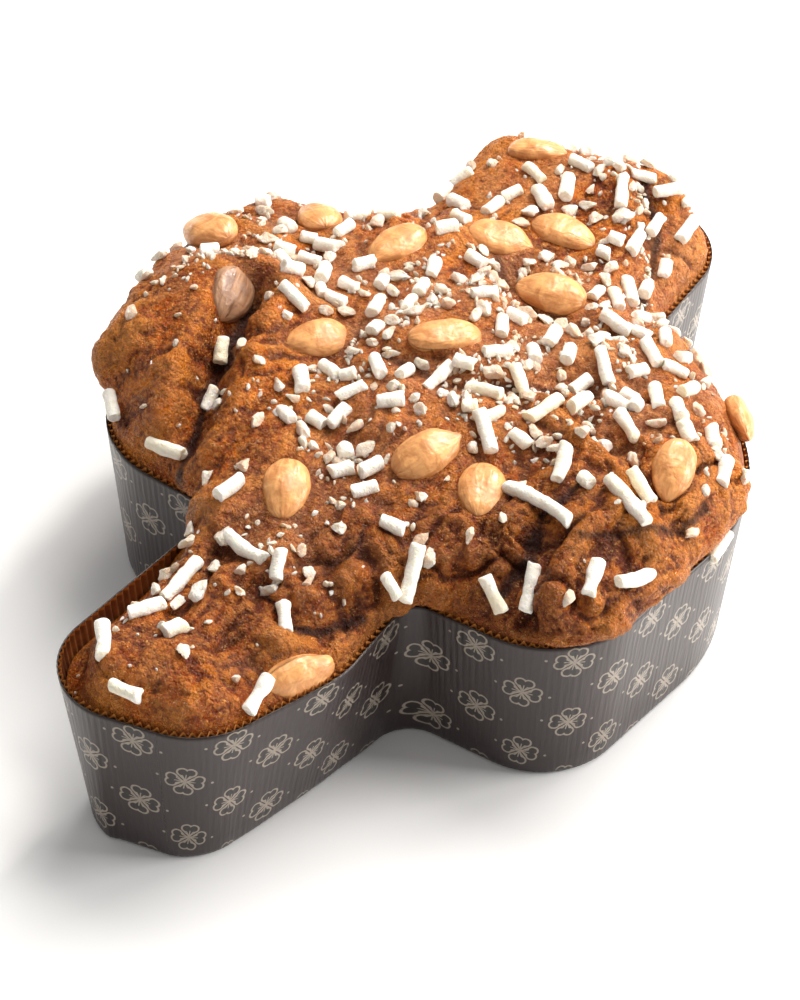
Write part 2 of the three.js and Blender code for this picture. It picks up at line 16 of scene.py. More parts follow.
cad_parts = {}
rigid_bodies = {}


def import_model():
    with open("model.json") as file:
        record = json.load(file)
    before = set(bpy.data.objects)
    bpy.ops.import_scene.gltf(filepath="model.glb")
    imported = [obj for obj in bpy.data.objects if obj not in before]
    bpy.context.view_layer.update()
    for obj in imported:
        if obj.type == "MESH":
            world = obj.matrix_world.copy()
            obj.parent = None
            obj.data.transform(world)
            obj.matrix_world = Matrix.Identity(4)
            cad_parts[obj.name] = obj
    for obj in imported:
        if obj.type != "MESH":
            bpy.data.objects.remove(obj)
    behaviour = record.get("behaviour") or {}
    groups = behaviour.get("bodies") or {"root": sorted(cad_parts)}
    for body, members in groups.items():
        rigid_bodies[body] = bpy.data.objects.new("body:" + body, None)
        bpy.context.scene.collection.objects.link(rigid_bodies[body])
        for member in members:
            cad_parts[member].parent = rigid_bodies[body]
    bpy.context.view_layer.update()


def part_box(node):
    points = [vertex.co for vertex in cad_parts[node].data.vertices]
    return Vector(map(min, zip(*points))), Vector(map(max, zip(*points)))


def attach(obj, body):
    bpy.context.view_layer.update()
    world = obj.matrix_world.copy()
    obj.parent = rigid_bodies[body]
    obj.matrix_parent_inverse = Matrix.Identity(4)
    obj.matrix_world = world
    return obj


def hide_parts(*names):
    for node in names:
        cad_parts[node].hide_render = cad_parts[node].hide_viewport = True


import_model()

# ---------------------------------------------------------------- sizes shared with the solids
# Lengths are in millimetres and headings in degrees.
RIM_HEIGHT, WALL, GAP = 62.0, 1.0, 0.3
TAPER, HEAD_TAPER, FOOT_ROUND = 5.0, 4.0, 2.5
# Corners of the rim's outline: x, y and the radius that rounds each one.
RIM_CORNERS = [
    (20.5, -151, 28), (38.9, -104, 40), (38, -66.5, 7), (96, -65, 41), (111.5, 44, 70), (39, 92, 9), (38, 149, 44),
    (-52, 149, 46), (-44, 90, 9), (-115, 63, 50), (-90, -62, 41), (-34, -66.5, 6), (-43.5, -163, 31),
]
# Where the wall leans in more: x, y, radius, how much at the foot.
PUSHED = [(37, -102, 25, 5.5)]
EDGE, BASE_RISE, SINK, LIP_CLEAR = 30.0, 27.0, 4.0, 0.45
# Swells and dips of the crust: x, y, radius, height.
SWELLS = [
    (0, 12, 52, 9), (72, 2, 38, 3), (-74, 8, 34, 2), (-6, 114, 36, -2), (-8, -118, 42, -6), (-88, 48, 30, -7),
    (24, -116, 20, -7), (-38, 130, 26, -2), (14, 136, 34, 9),
]
# Where the cake has risen over its rim: x, y, radius, lip over the paper, bulge above it.
SPILLS = [
    (98, -38, 34, 2.5, 7), (38, -66, 16, 2.5, 5), (-34, -66, 20, 2.5, 5), (-106, -12, 38, 2, 13),
    (-110, 46, 36, 1.5, 7), (-54, 110, 36, 2, 10), (108, 8, 28, 2, 4),
]
# Where it stays short of the paper: x, y, radius, gap, fall.
SHRUNK = [(-56, -122, 46, 7, 3)]
# Deep folds: the path of each, its width and its depth.
FOLDS = [
    ([(-66, 2), (-62, -21), (-55, -42), (-47, -66)], 6, 11),
    ([(10, 128), (24, 115), (32, 93), (43, 66)], 5, 4),
    ([(68, -16), (66, -33), (70, -48), (67, -62)], 5, 5),
    ([(79, -36), (90, -29), (99, -15), (102, 4)], 4, 4),
    ([(-12, -1), (9, -4), (31, 8), (50, 25)], 5, 3.5),
    ([(5, -98), (18, -103), (28, -98), (34, -88)], 5, 5),
    ([(58, 8), (80, 0), (93, -8)], 4, 3),
    ([(-14, 66), (12, 48), (35, 47), (50, 60)], 6, 3),
]
# Lumps: wave length and height.
LUMPS, LUMP_SEED = [(26, 2.4), (13, 1.3)], 11
CONTACT = WALL + GAP
ALMOND_LENGTH, ALMOND_WIDTH, ALMOND_HEIGHT, ALMOND_SUNK = 23.0, 15.2, 9.0, 0.12
# Almonds: x, y, heading, size, lift, roll about the almond's own length.
ALMONDS = [
    (-93, 27, 162, 1.1, 2, 0), (-76, 56, 137, 1.0, 2, 0), (-71, -2, -66, 1.02, 0, 0), (-41, 50, -106, 0.98, 0, 0),
    (-15, 74, 10, 1.0, 0, 0), (0, 90, 0, 1.02, 0, 0), (-28, 125, 15, 0.9, 1, 0), (13.4, 57.5, -172, 1.05, 0, 0),
    (-36, -5.5, -130, 1.02, 0, 0), (1, 12, -140, 1.02, 0, 0), (-8.2, -64.8, -62, 1.0, 0, 0),
    (23, -32.5, 65, 1.05, 0, 0), (43.8, -34.6, -63, 1.02, 0, 0), (87, 4.4, -68, 0.93, 0, 0),
    (86.4, 52.6, -62, 0.92, 3.2, 0), (30.6, -115, 70, 1.12, -2, 35),
]
ROD_RADIUS = 2.4
# Sugar rods that have a place of their own: x, y, heading, length, bend.
LONE_RODS = [
    (34, -65, -54, 18, 0), (63, -31, -9, 25, 28), (82, -16, -22, 20, 6), (84, -9, -9, 12, 0),
    (72, -54, -87, 15, 0), (64, -60, -65, 12, 0), (92, -33, 42, 18, -20), (84, -42, -67, 12, 0),
    (106, 9, -70, 12, 0), (95, 18, -67, 11, 0), (24, -128, -71, 13, 0), (-23, -142, -53, 14, 12),
    (-19, -124, 64, 12, 10), (-18, -107, 88, 18, 0), (-7, -90, -15, 17, -20), (16, -103, -49, 10, 0),
    (-57, -60, 10, 14, 0), (-86, -49, -56, 12, 0), (61, -15, -70, 13, 24), (34, -17, -44, 15, 0),
]
# Scattered sugar: kind, how many, shortest and longest, free space. The solids have the first rows, of the larger
# pieces, and only this script has the rest.
SHARED_ROWS = 3
SCATTER = [
    ("rod", 14, 11, 14.5, 10.5), ("rod", 58, 7, 10.5, 7.8), ("grain", 64, 4, 5.4, 5.4),
    ("rod", 18, 6, 9, 5.6), ("rod", 22, 4.5, 7, 4.6), ("grain", 90, 3.4, 5, 4.2),
]
SCATTER_SEED = 2024
SCATTER_TRIES, FIELD_X, FIELD_Y, RIM_CLEAR = 60, 110, 155, 5
# Where sugar lies: x, y, radius, share.
SUGARED = [
    (4, 18, 50, 1.0), (8, 92, 46, 1.0), (62, 32, 38, 0.85), (-48, 24, 34, 0.7), (4, -42, 30, 0.6), (-2, -78, 26, 0.5),
    (-94, 20, 30, 0.3), (-12, -128, 24, 0.12),
]

# ---------------------------------------------------------------- sizes of what only the eye sees
# Where the sugar that is too fine for the solids lies as well: x, y, radius, share.
FINE_SUGARED = SUGARED + [(-87, 12, 20, 1.0), (-80, 50, 22, 0.7), (14, -112, 20, 0.25)]
# Where the crust is torn and folded most: x, y, radius, share.
TORN = [
    (72, -38, 32, 1.0), (58, 24, 30, 0.7), (88, 14, 22, 0.8), (-50, -20, 18, 0.5), (6, -122, 34, 0.6),
    (22, -78, 20, 0.7), (30, 120, 22, 0.7), (-92, 40, 22, 0.4), (2, -20, 26, 0.3),
]
# Where the crust is coloured darker, over the front of the cake: x, y, radius, share.
DARKER_FRONT = [(70, -52, 38, 1.0), (22, -78, 28, 0.8), (2, -126, 36, 0.5), (-58, -40, 24, 0.3)]
CRUST_STEP = 3.0  # spacing of the crust's first points
VOXEL = 0.75  # size of the crust's finished faces
CUT = RIM_HEIGHT - 9  # the fine crust ends here, inside the case
SKIRT = [(30.0, 0.8), (WALL + GAP, 2.6)]  # plain walls below the fine crust: height, free space beside the case
DARK_ALMOND = 2  # the one that has baked darker than the others
LARGE_GRAIN_LEVEL, FINE_GRAIN_LEVEL, GRAIN_SHAPES = 3, 2, 7  # fineness of the crystals, and how many shapes they have
FULL_TURN = 6.283
# The fine grains, strewn twice over the crust, in metres.
STREWN = {
    "sugar_grains": {
        "Per square metre": 60000.0, "Free space": 0.0022, "Smallest": 0.0026, "Largest": 0.0048, "Seed": 5},
    "sugar_crumbs": {
        "Per square metre": 170000.0, "Free space": 0.0016, "Smallest": 0.0017, "Largest": 0.0031, "Seed": 8},
}
RIB, RIB_DEPTH, RIB_SAMPLES = 2.3, 0.035, 6  # upright flutes of the outer paper
PAPER = 0.4  # thickness of the outer paper
# The outer paper's foot and wall from the floor up, each row with its inset, height and share of the flutes, and the
# heights of the rows inside it from the rim down.
FOOT_ROWS = [(FOOT_ROUND, 0, 0.6), (FOOT_ROUND * 0.45, 0.25, 0.8), (FOOT_ROUND * 0.12, 1.1, 1.0)]
WALL_LEVELS, INNER_LEVELS = [2.6, 8, 16, 26, 36, 46, 55, 60, RIM_HEIGHT], [RIM_HEIGHT, 58, 40, 20, 4]
UNPRINTED = -5.0  # height given to the print where the paper has none
LINING_WAVE, LINING_SAMPLES, LINING_INSET = 2.8, 8, 0.45  # waves of the inner paper
# The inner paper from its lower edge up: height, depth of the waves, scallops of the edge.
LINING_ROWS = [(44, 0.3, 0), (54, 0.3, 0), (59, 0.34, 0), (60.6, 0.42, 0), (61.6, 0.5, 0.2), (62.1, 0.55, 0.9)]
COLUMN_PITCH, ROW_PITCH, MOTIF_SIZE = 16.2, 28.8, 13.4  # the print: four-leaf ornaments
PRINT_TURN, PRINT_PHASE, DOT_REACH = -10, 0.1, 1.38  # their turn, the rows' phase, how far out the dots lie

# ---------------------------------------------------------------- sizes of the room, the lamps and the camera
FLOOR_HALF = 3.0
ROOM_COLOUR, ROOM_STRENGTH = (1.0, 0.985, 0.97, 1), 0.42
# Square lamps that look at the cake: place and side in metres, power in watts, colour.
LAMPS = {
    "window": ((0.1, 0.75, 1.25), 1.1, 28, (1.0, 0.97, 0.93)),
    "side": ((1.2, 0.75, 0.5), 0.7, 26, (1.0, 0.98, 0.95)),
    "glint": ((-0.05, 0.95, 0.95), 0.16, 9, (1.0, 0.96, 0.9)),
}
LAMP_AIM = (0, 0, 0.04)
# The camera, worked out from the rim and the foot of the case: its place and the direction away from what it looks at
# in the cake's own plan, its roll in radians, and its focal length in pixels of a picture of this height.
CAMERA_PLACE, CAMERA_BACK, CAMERA_ROLL = (414.94, -689.22, 788.39), (0.38027, -0.62169, 0.68476), -0.02432
FOCAL_PX, PICTURE_HEIGHT_PX, SENSOR = 3356.36, 1000, 36


# ---------------------------------------------------------------- small helpers
def smooth(v, lo, hi):
    t = np.clip((v - lo) / (hi - lo), 0, 1)
    return t * t * (3 - 2 * t)


def bump(x, y, cx, cy, r):
    return np.exp(-((x - cx) ** 2 + (y - cy) ** 2) / (r * r))


def seeded_random(seed):
    """A repeatable stream of numbers between 0 and 1."""
    state, full = seed & 0xFFFFFFFF, 0xFFFFFFFF

    def draw():
        nonlocal state
        state = (state + 0x6D2B79F5) & full
        t = state
        t = ((t ^ (t >> 15)) * (t | 1)) & full
        t ^= (t + (((t ^ (t >> 7)) * (t | 61)) & full)) & full
        return ((t ^ (t >> 14)) & full) / 4294967296

    return draw


def grid_height(cells, seed):
    """A repeatable height between -1 and 1 at each point of a whole-number grid of two or three directions."""
    mixed = np.uint32((seed * 974634777) & 0xFFFFFFFF)
    for axis, factor in zip(range(cells.shape[-1]), (374761393, 668265263, 2246822519)):
        mixed = mixed ^ (cells[..., axis].astype(np.int64).astype(np.uint32) * np.uint32(factor))
    mixed = (mixed ^ (mixed >> np.uint32(13))) * np.uint32(1274126177)
    return (mixed ^ (mixed >> np.uint32(16))) / 4294967295 * 2 - 1


def rolling(points, seed):
    """Smooth rolling noise between -1 and 1, over two or three directions."""
    low = np.floor(points)
    share = points - low
    share = share * share * (3 - 2 * share)
    total, directions = 0, points.shape[-1]
    for corner in range(2**directions):
        offset = np.array([(corner >> k) & 1 for k in range(directions)])
        weight = np.prod(np.where(offset, share, 1 - share), axis=-1)
        total = total + weight * grid_height(low + offset, seed)
    return total


def noise(points, wave, seed):
    return rolling(points / wave + 200, seed)


def ridges(points, wave, seed):
    """Noise of sharp valleys, 0 in the valleys and up to 1 between them."""
    return np.abs(noise(points, wave, seed)) ** 0.8 * 1.3


def lumps(points, wave, seed):
    """Rounded lumps with sharp valleys between them: 0 in the valleys and about 1 on top."""
    scaled = points / wave + 200
    low = np.floor(scaled)
    nearest = np.full(len(points), 9.0)
    for step in np.ndindex(3, 3, 3):
        cell = low + np.array(step) - 1
        seat = cell + 0.5 + 0.42 * np.column_stack([grid_height(cell, seed + k) for k in range(3)])
        nearest = np.minimum(nearest, ((scaled - seat) ** 2).sum(1))
    return 1 - np.clip(np.sqrt(nearest) / 0.85, 0, 1) ** 1.6


def unit(v):
    return v / np.maximum(np.linalg.norm(v, axis=-1, keepdims=True), 1e-9)


# ---------------------------------------------------------------- outline of the dove
def rim_outline(chord):
    """Stations round the rim: x, y and outward direction. Corners become arcs, with steps up to the chord."""
    corners = np.array([c[:2] for c in RIM_CORNERS], float)
    count, arcs, stations = len(corners), [], []
    for i, (_, _, wanted) in enumerate(RIM_CORNERS):
        before, after = corners[i - 1] - corners[i], corners[(i + 1) % count] - corners[i]
        long_before, long_after = np.linalg.norm(before), np.linalg.norm(after)
        before, after = before / long_before, after / long_after
        half = math.acos(before @ after) / 2
        run = min(wanted / math.tan(half), 0.499 * long_before, 0.499 * long_after)
        radius = run * math.tan(half)
        centre = unit(before + after) * radius / math.sin(half) + corners[i]
        start, end = corners[i] + before * run - centre, corners[i] + after * run - centre
        begin = math.atan2(start[1], start[0])
        turn = math.remainder(math.atan2(end[1], end[0]) - begin, 2 * math.pi)
        arcs.append((centre, radius, begin, turn))
    for i, (centre, radius, begin, turn) in enumerate(arcs):
        steps = max(3, math.ceil(abs(turn) * radius / chord))
        for k in range(steps + 1):
            angle = begin + turn * k / steps
            ray = np.array([math.cos(angle), math.sin(angle)])
            stations.append([*(centre + radius * ray), *(ray * math.copysign(1, turn))])
        following, reach, first, _ = arcs[(i + 1) % count]
        target = following + reach * np.array([math.cos(first), math.sin(first)])
        here = np.array(stations[-1])
        cuts = math.ceil(np.linalg.norm(target - here[:2]) / chord)
        for k in range(1, cuts):
            stations.append([*(here[:2] + (target - here[:2]) * k / cuts), *here[2:]])
    stations = np.array(stations)
    apart = np.linalg.norm(stations[:, :2] - np.roll(stations[:, :2], 1, axis=0), axis=1)
    return stations[apart > 0.5]


def even_outline(count):
    """So many stations round the rim, evenly spaced, with the distance run at each."""
    fine = rim_outline(0.6)
    loop = np.vstack([fine, fine[:1]])
    run = np.concatenate([[0], np.cumsum(np.linalg.norm(np.diff(loop[:, :2], axis=0), axis=1))])
    at = np.arange(count) * run[-1] / count
    stations = np.stack([np.interp(at, run, loop[:, k]) for k in range(4)], axis=1)
    stations[:, 2:] = unit(stations[:, 2:])
    return stations, at, run[-1]


FINE_RIM = rim_outline(2)
RIM_LENGTH = even_outline(8)[2]


def rim_distance(x, y):
    """Distance from the rim, positive inside, and the direction straight out over the nearest point of the rim."""
    x, y = np.atleast_1d(np.asarray(x, float)), np.atleast_1d(np.asarray(y, float))
    a, b = FINE_RIM[:, :2], np.roll(FINE_RIM[:, :2], -1, axis=0)
    d = b - a
    long = (d * d).sum(1)
    out = np.empty((len(x), 3))
    for start in range(0, len(x), 8000):
        px, py = x[start:start + 8000, None], y[start:start + 8000, None]
        t = np.clip(((px - a[:, 0]) * d[:, 0] + (py - a[:, 1]) * d[:, 1]) / long, 0, 1)
        gx, gy = a[:, 0] + d[:, 0] * t - px, a[:, 1] + d[:, 1] * t - py
        squared = gx * gx + gy * gy
        best = squared.argmin(1)
        row = np.arange(len(best))
        distance = np.maximum(np.sqrt(squared[row, best]), 1e-9)
        straddles = (a[:, 1] > py) != (b[:, 1] > py)
        with np.errstate(divide="ignore", invalid="ignore"):
            crosses = straddles & (px < a[:, 0] + (py - a[:, 1]) / d[:, 1] * d[:, 0])
        sign = np.where(crosses.sum(1) % 2 == 1, 1.0, -1.0)
        out[start:start + 8000] = np.stack(
            [sign * distance, sign * gx[row, best] / distance, sign * gy[row, best] / distance], axis=1)
    return out


def wall_points(stations, inset, z):
    """Points of the wall beside the stations, inset from its outer face. The case leans in towards its foot."""
    z = np.broadcast_to(np.asarray(z, float), len(stations))
    lean = TAPER + HEAD_TAPER * smooth(-stations[:, 1], 60, 140) * np.abs(stations[:, 2])
    lean = lean + sum(d * bump(stations[:, 0], stations[:, 1], cx, cy, r) for cx, cy, r, d in PUSHED)
    lean = lean * np.maximum(0, 1 - z / RIM_HEIGHT)
    return np.column_stack([stations[:, :2] - stations[:, 2:] * (inset + lean)[:, None], z])


# ---------------------------------------------------------------- form of the crust
def spill_at(x, y):
    """How the crust meets the rim: share that rises, lip over the paper, bulge above it, and drop where it shrank."""
    share = lip = bulge = np.zeros(np.shape(x))
    for cx, cy, r, lip_here, bulge_here in SPILLS:
        near = np.clip(1.6 * bump(x, y, cx, cy, r), 0, 1)
        over = smooth(near, 0.6, 1)
        share, lip = np.maximum(share, near), np.maximum(lip, lip_here * over)
        bulge = np.maximum(bulge, bulge_here * over)
    drop = np.zeros(np.shape(x))
    for cx, cy, r, gap, fall in SHRUNK:
        near = smooth(1.6 * bump(x, y, cx, cy, r), 0.3, 1)
        lip, drop = lip - gap * near, drop + fall * near
    return smooth(share, 0, 0.6), lip, bulge, drop


def path_distance(x, y, path):
    best = np.full(np.shape(x), np.inf)
    for (ax, ay), (bx, by) in zip(path, path[1:]):
        dx, dy = bx - ax, by - ay
        t = np.clip(((x - ax) * dx + (y - ay) * dy) / (dx * dx + dy * dy), 0, 1)
        best = np.minimum(best, np.hypot(ax + dx * t - x, ay + dy * t - y))
    return best


def relief(x, y):
    height = np.zeros(np.shape(x))
    for path, width, depth in FOLDS:
        d = path_distance(x, y, path) / width
        height = height + depth * (0.3 * np.exp(-((d - 1.9) ** 2)) - np.exp(-d * d))
    for k, (wave, size) in enumerate(LUMPS):
        height = height + size * rolling(np.stack([x, y], axis=-1) / wave + 40, LUMP_SEED + k)
    return height


def crust_points(x, y, outward=None):
    """The points of the crust that belong to points of the plan."""
    x, y = np.asarray(x, float), np.asarray(y, float)
    outward = rim_distance(x, y) if outward is None else outward
    raised, lip, bulge, drop = spill_at(x, y)
    cosine = 1 - np.clip((outward[:, 0] - CONTACT) / EDGE, 0, 1)
    sine = np.sqrt(1 - cosine * cosine)
    rise = BASE_RISE + sum(h * bump(x, y, cx, cy, r) for cx, cy, r, h in SWELLS)
    z = RIM_HEIGHT - SINK + (SINK - 1) * raised - drop + rise * sine + relief(x, y) * smooth(outward[:, 0], CONTACT, 12)
    push = lip * smooth(sine, 0, 0.2) * (1 - smooth(sine, 0.3, 1)) + bulge * 2 * sine * cosine
    return np.column_stack([x + outward[:, 1] * push, y + outward[:, 2] * push, z])


def crust_frame(x, y, heading, lift, step):
    """Where a thing lies on the crust: its own +Z points out of the crust and its own +X along the heading."""
    around = crust_points([x, x + step, x - step, x, x], [y, y, y, y + step, y - step])
    out = unit(np.cross(around[1] - around[2], around[3] - around[4]))
    along = np.array([math.cos(math.radians(heading)), math.sin(math.radians(heading)), 0])
    along = unit(along - out * (along @ out))
    return np.column_stack([along, np.cross(out, along), out]), around[0] + out * lift


def almond_frame(almond):
    """Where an almond lies, rolled about its own length where it has a roll."""
    x, y, heading, size, lift, roll = almond
    turn, place = crust_frame(x, y, heading, lift - ALMOND_SUNK * ALMOND_HEIGHT * size, 5)
    c, s = math.cos(math.radians(roll)), math.sin(math.radians(roll))
    return turn @ np.array([[1, 0, 0], [0, c, -s], [0, s, c]]), place


# ---------------------------------------------------------------- meshes
# From the cake's own plan to the frame, by the case's lowest corner.
own_rim = wall_points(rim_outline(9.5), 0, RIM_HEIGHT)
case_low = np.array(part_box("paper_case")[0]) * 1000
SHIFT = np.array([case_low[0] - own_rim[:, 0].min(), case_low[1] - own_rim[:, 1].min(), 0])


def to_object(name, points, faces, material, uv=None, floats=None):
    """Makes one piece from points in millimetres, with its texture coordinates and named point values."""
    mesh = bpy.data.meshes.new(name)
    mesh.from_pydata(((points + SHIFT) / 1000).tolist(), [], [list(map(int, f)) for f in faces])
    mesh.shade_smooth()
    if uv is not None:
        corner_points = np.empty(len(mesh.loops), np.int32)
        mesh.loops.foreach_get("vertex_index", corner_points)
        layer = mesh.uv_layers.new(name="UVMap")
        layer.data.foreach_set("uv", uv[corner_points].astype(np.float32).ravel())
    for key, values in (floats or {}).items():
        mesh.attributes.new(key, "FLOAT", "POINT").data.foreach_set("value", np.asarray(values, np.float32))
    mesh.materials.append(material)
    made = bpy.data.objects.new(name, mesh)
    bpy.context.scene.collection.objects.link(made)
    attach(made, "root")
    return made


def bands(starts, count):
    """Four-sided faces between closed rings of equal length, from the first point of each."""
    i = np.arange(count)
    j = (i + 1) % count
    return np.concatenate([np.column_stack([a + i, a + j, b + j, b + i]) for a, b in zip(starts, starts[1:])])


def point_normals(points, faces):
    corners = points[faces]
    normal = np.cross(corners[:, 2] - corners[:, 0], corners[:, -1] - corners[:, 1])
    total = np.zeros_like(points)
    for k in range(faces.shape[1]):
        for axis in range(3):
            total[:, axis] += np.bincount(faces[:, k], normal[:, axis], len(points))
    return unit(total)


def relaxed(points, faces, rounds, share=0.5):
    """Points drawn towards the mean of their neighbours."""
    a = np.concatenate([faces[:, k] for k in range(4)])
    b = np.concatenate([faces[:, (k + 1) % 4] for k in range(4)])
    degree = np.maximum(np.bincount(a, minlength=len(points)), 1)
    for _ in range(rounds):
        mean = np.column_stack([np.bincount(a, points[b, axis], len(points)) for axis in range(3)]) / degree[:, None]
        points = points + (mean - points) * share
    return points


# ---------------------------------------------------------------- material nodes
class Value:
    """A number in a node tree: arithmetic on it adds Math nodes."""

    def __init__(self, tree, socket):
        self.tree, self.socket = tree, socket

    def math(self, operation, *others):
        node = self.tree.nodes.new("ShaderNodeMath")
        node.operation = operation
        for socket, value in zip(node.inputs, (self, *others)):
            if isinstance(value, Value):
                self.tree.links.new(value.socket, socket)
            else:
                socket.default_value = value
        return Value(self.tree, node.outputs[0])

    def __add__(self, other):
        return self.math("ADD", other)

    def __sub__(self, other):
        return self.math("SUBTRACT", other)

    def __mul__(self, other):
        return self.math("MULTIPLY", other)

    def __truediv__(self, other):
        return self.math("DIVIDE", other)

    def between(self, lo, hi, start=0.0, end=1.0):
        """A smooth step from start at lo to end at hi."""
        node = self.tree.nodes.new("ShaderNodeMapRange")
        node.interpolation_type = "SMOOTHSTEP"
        self.tree.links.new(self.socket, node.inputs["Value"])
        for key, value in zip(("From Min", "From Max", "To Min", "To Max"), (lo, hi, start, end)):
            node.inputs[key].default_value = value
        return Value(self.tree, node.outputs[0])


def srgb(*levels):
    """A colour as read off a screen, 0 to 255, in the linear numbers that a shader takes."""
    return tuple(c / 255 / 12.92 if c <= 10 else ((c / 255 + 0.055) / 1.055) ** 2.4 for c in levels) + (1.0,)


class Finish:
    """A material under construction, with short names for the nodes it uses."""

    def __init__(self, name, **constants):
        self.material = bpy.data.materials.new(name)
        self.material.use_nodes = True
        self.tree = self.material.node_tree
        self.shader = self.tree.nodes["Principled BSDF"]
        for key, value in constants.items():
            self.shader.inputs[key.replace("_", " ")].default_value = value

    def coordinates(self, output="Object"):
        return self.tree.nodes.new("ShaderNodeTexCoord").outputs[output]

    def attribute(self, name):
        node = self.tree.nodes.new("ShaderNodeAttribute")
        node.attribute_name = name
        return Value(self.tree, node.outputs["Fac"])

    def noise(self, scale, detail=2.0, roughness=0.5, distortion=0.0, stretch=None, coordinates=None):
        node = self.tree.nodes.new("ShaderNodeTexNoise")
        for key, value in zip(("Scale", "Detail", "Roughness", "Distortion"), (scale, detail, roughness, distortion)):
            node.inputs[key].default_value = value
        source = coordinates or self.coordinates()
        if stretch:
            mapping = self.tree.nodes.new("ShaderNodeMapping")
            mapping.inputs["Scale"].default_value = stretch
            self.tree.links.new(source, mapping.inputs["Vector"])
            source = mapping.outputs[0]
        self.tree.links.new(source, node.inputs["Vector"])
        return Value(self.tree, node.outputs[0])

    def warped(self, scale, reach):
        """Object coordinates shaken by noise, up to so many metres."""
        kinds = ("ShaderNodeTexNoise", "ShaderNodeVectorMath", "ShaderNodeVectorMath")
        noise, shift, total = (self.tree.nodes.new(kind) for kind in kinds)
        noise.inputs["Scale"].default_value = scale
        noise.inputs["Detail"].default_value = 3.0
        shift.operation, total.operation = "MULTIPLY_ADD", "ADD"
        shift.inputs[1].default_value = (2 * reach,) * 3
        shift.inputs[2].default_value = (-reach,) * 3
        self.tree.links.new(self.coordinates(), noise.inputs["Vector"])
        self.tree.links.new(noise.outputs["Color"], shift.inputs[0])
        self.tree.links.new(shift.outputs[0], total.inputs[0])
        self.tree.links.new(self.coordinates(), total.inputs[1])
        return total.outputs[0]

    def cells(self, scale, coordinates):
        """Crumbs: the distance from each one's middle, and a tone of its own from 0 to 1."""
        node = self.tree.nodes.new("ShaderNodeTexVoronoi")
        node.inputs["Scale"].default_value = scale
        split = self.tree.nodes.new("ShaderNodeSeparateColor")
        self.tree.links.new(coordinates, node.inputs["Vector"])
        self.tree.links.new(node.outputs["Color"], split.inputs[0])
        return Value(self.tree, node.outputs["Distance"]), Value(self.tree, split.outputs[0])

    def mix(self, share, first, second):
        node = self.tree.nodes.new("ShaderNodeMix")
        node.data_type = "RGBA"
        for socket, value in ((node.inputs[0], share), (node.inputs[6], first), (node.inputs[7], second)):
            if isinstance(value, Value):
                self.tree.links.new(value.socket, socket)
            elif isinstance(value, bpy.types.NodeSocket):
                self.tree.links.new(value, socket)
            else:
                socket.default_value = value
        return node.outputs[2]

    def drive(self, key, value):
        self.tree.links.new(value.socket if isinstance(value, Value) else value, self.shader.inputs[key])

    def bumps(self, *layers):
        """Relief from layers of height and depth in metres."""
        normal = None
        for height, depth in layers:
            node = self.tree.nodes.new("ShaderNodeBump")
            node.inputs["Distance"].default_value = depth
            node.inputs["Strength"].default_value = 1.0
            self.tree.links.new(height.socket, node.inputs["Height"])
            if normal:
                self.tree.links.new(normal, node.inputs["Normal"])
            normal = node.outputs[0]
        self.drive("Normal", normal)


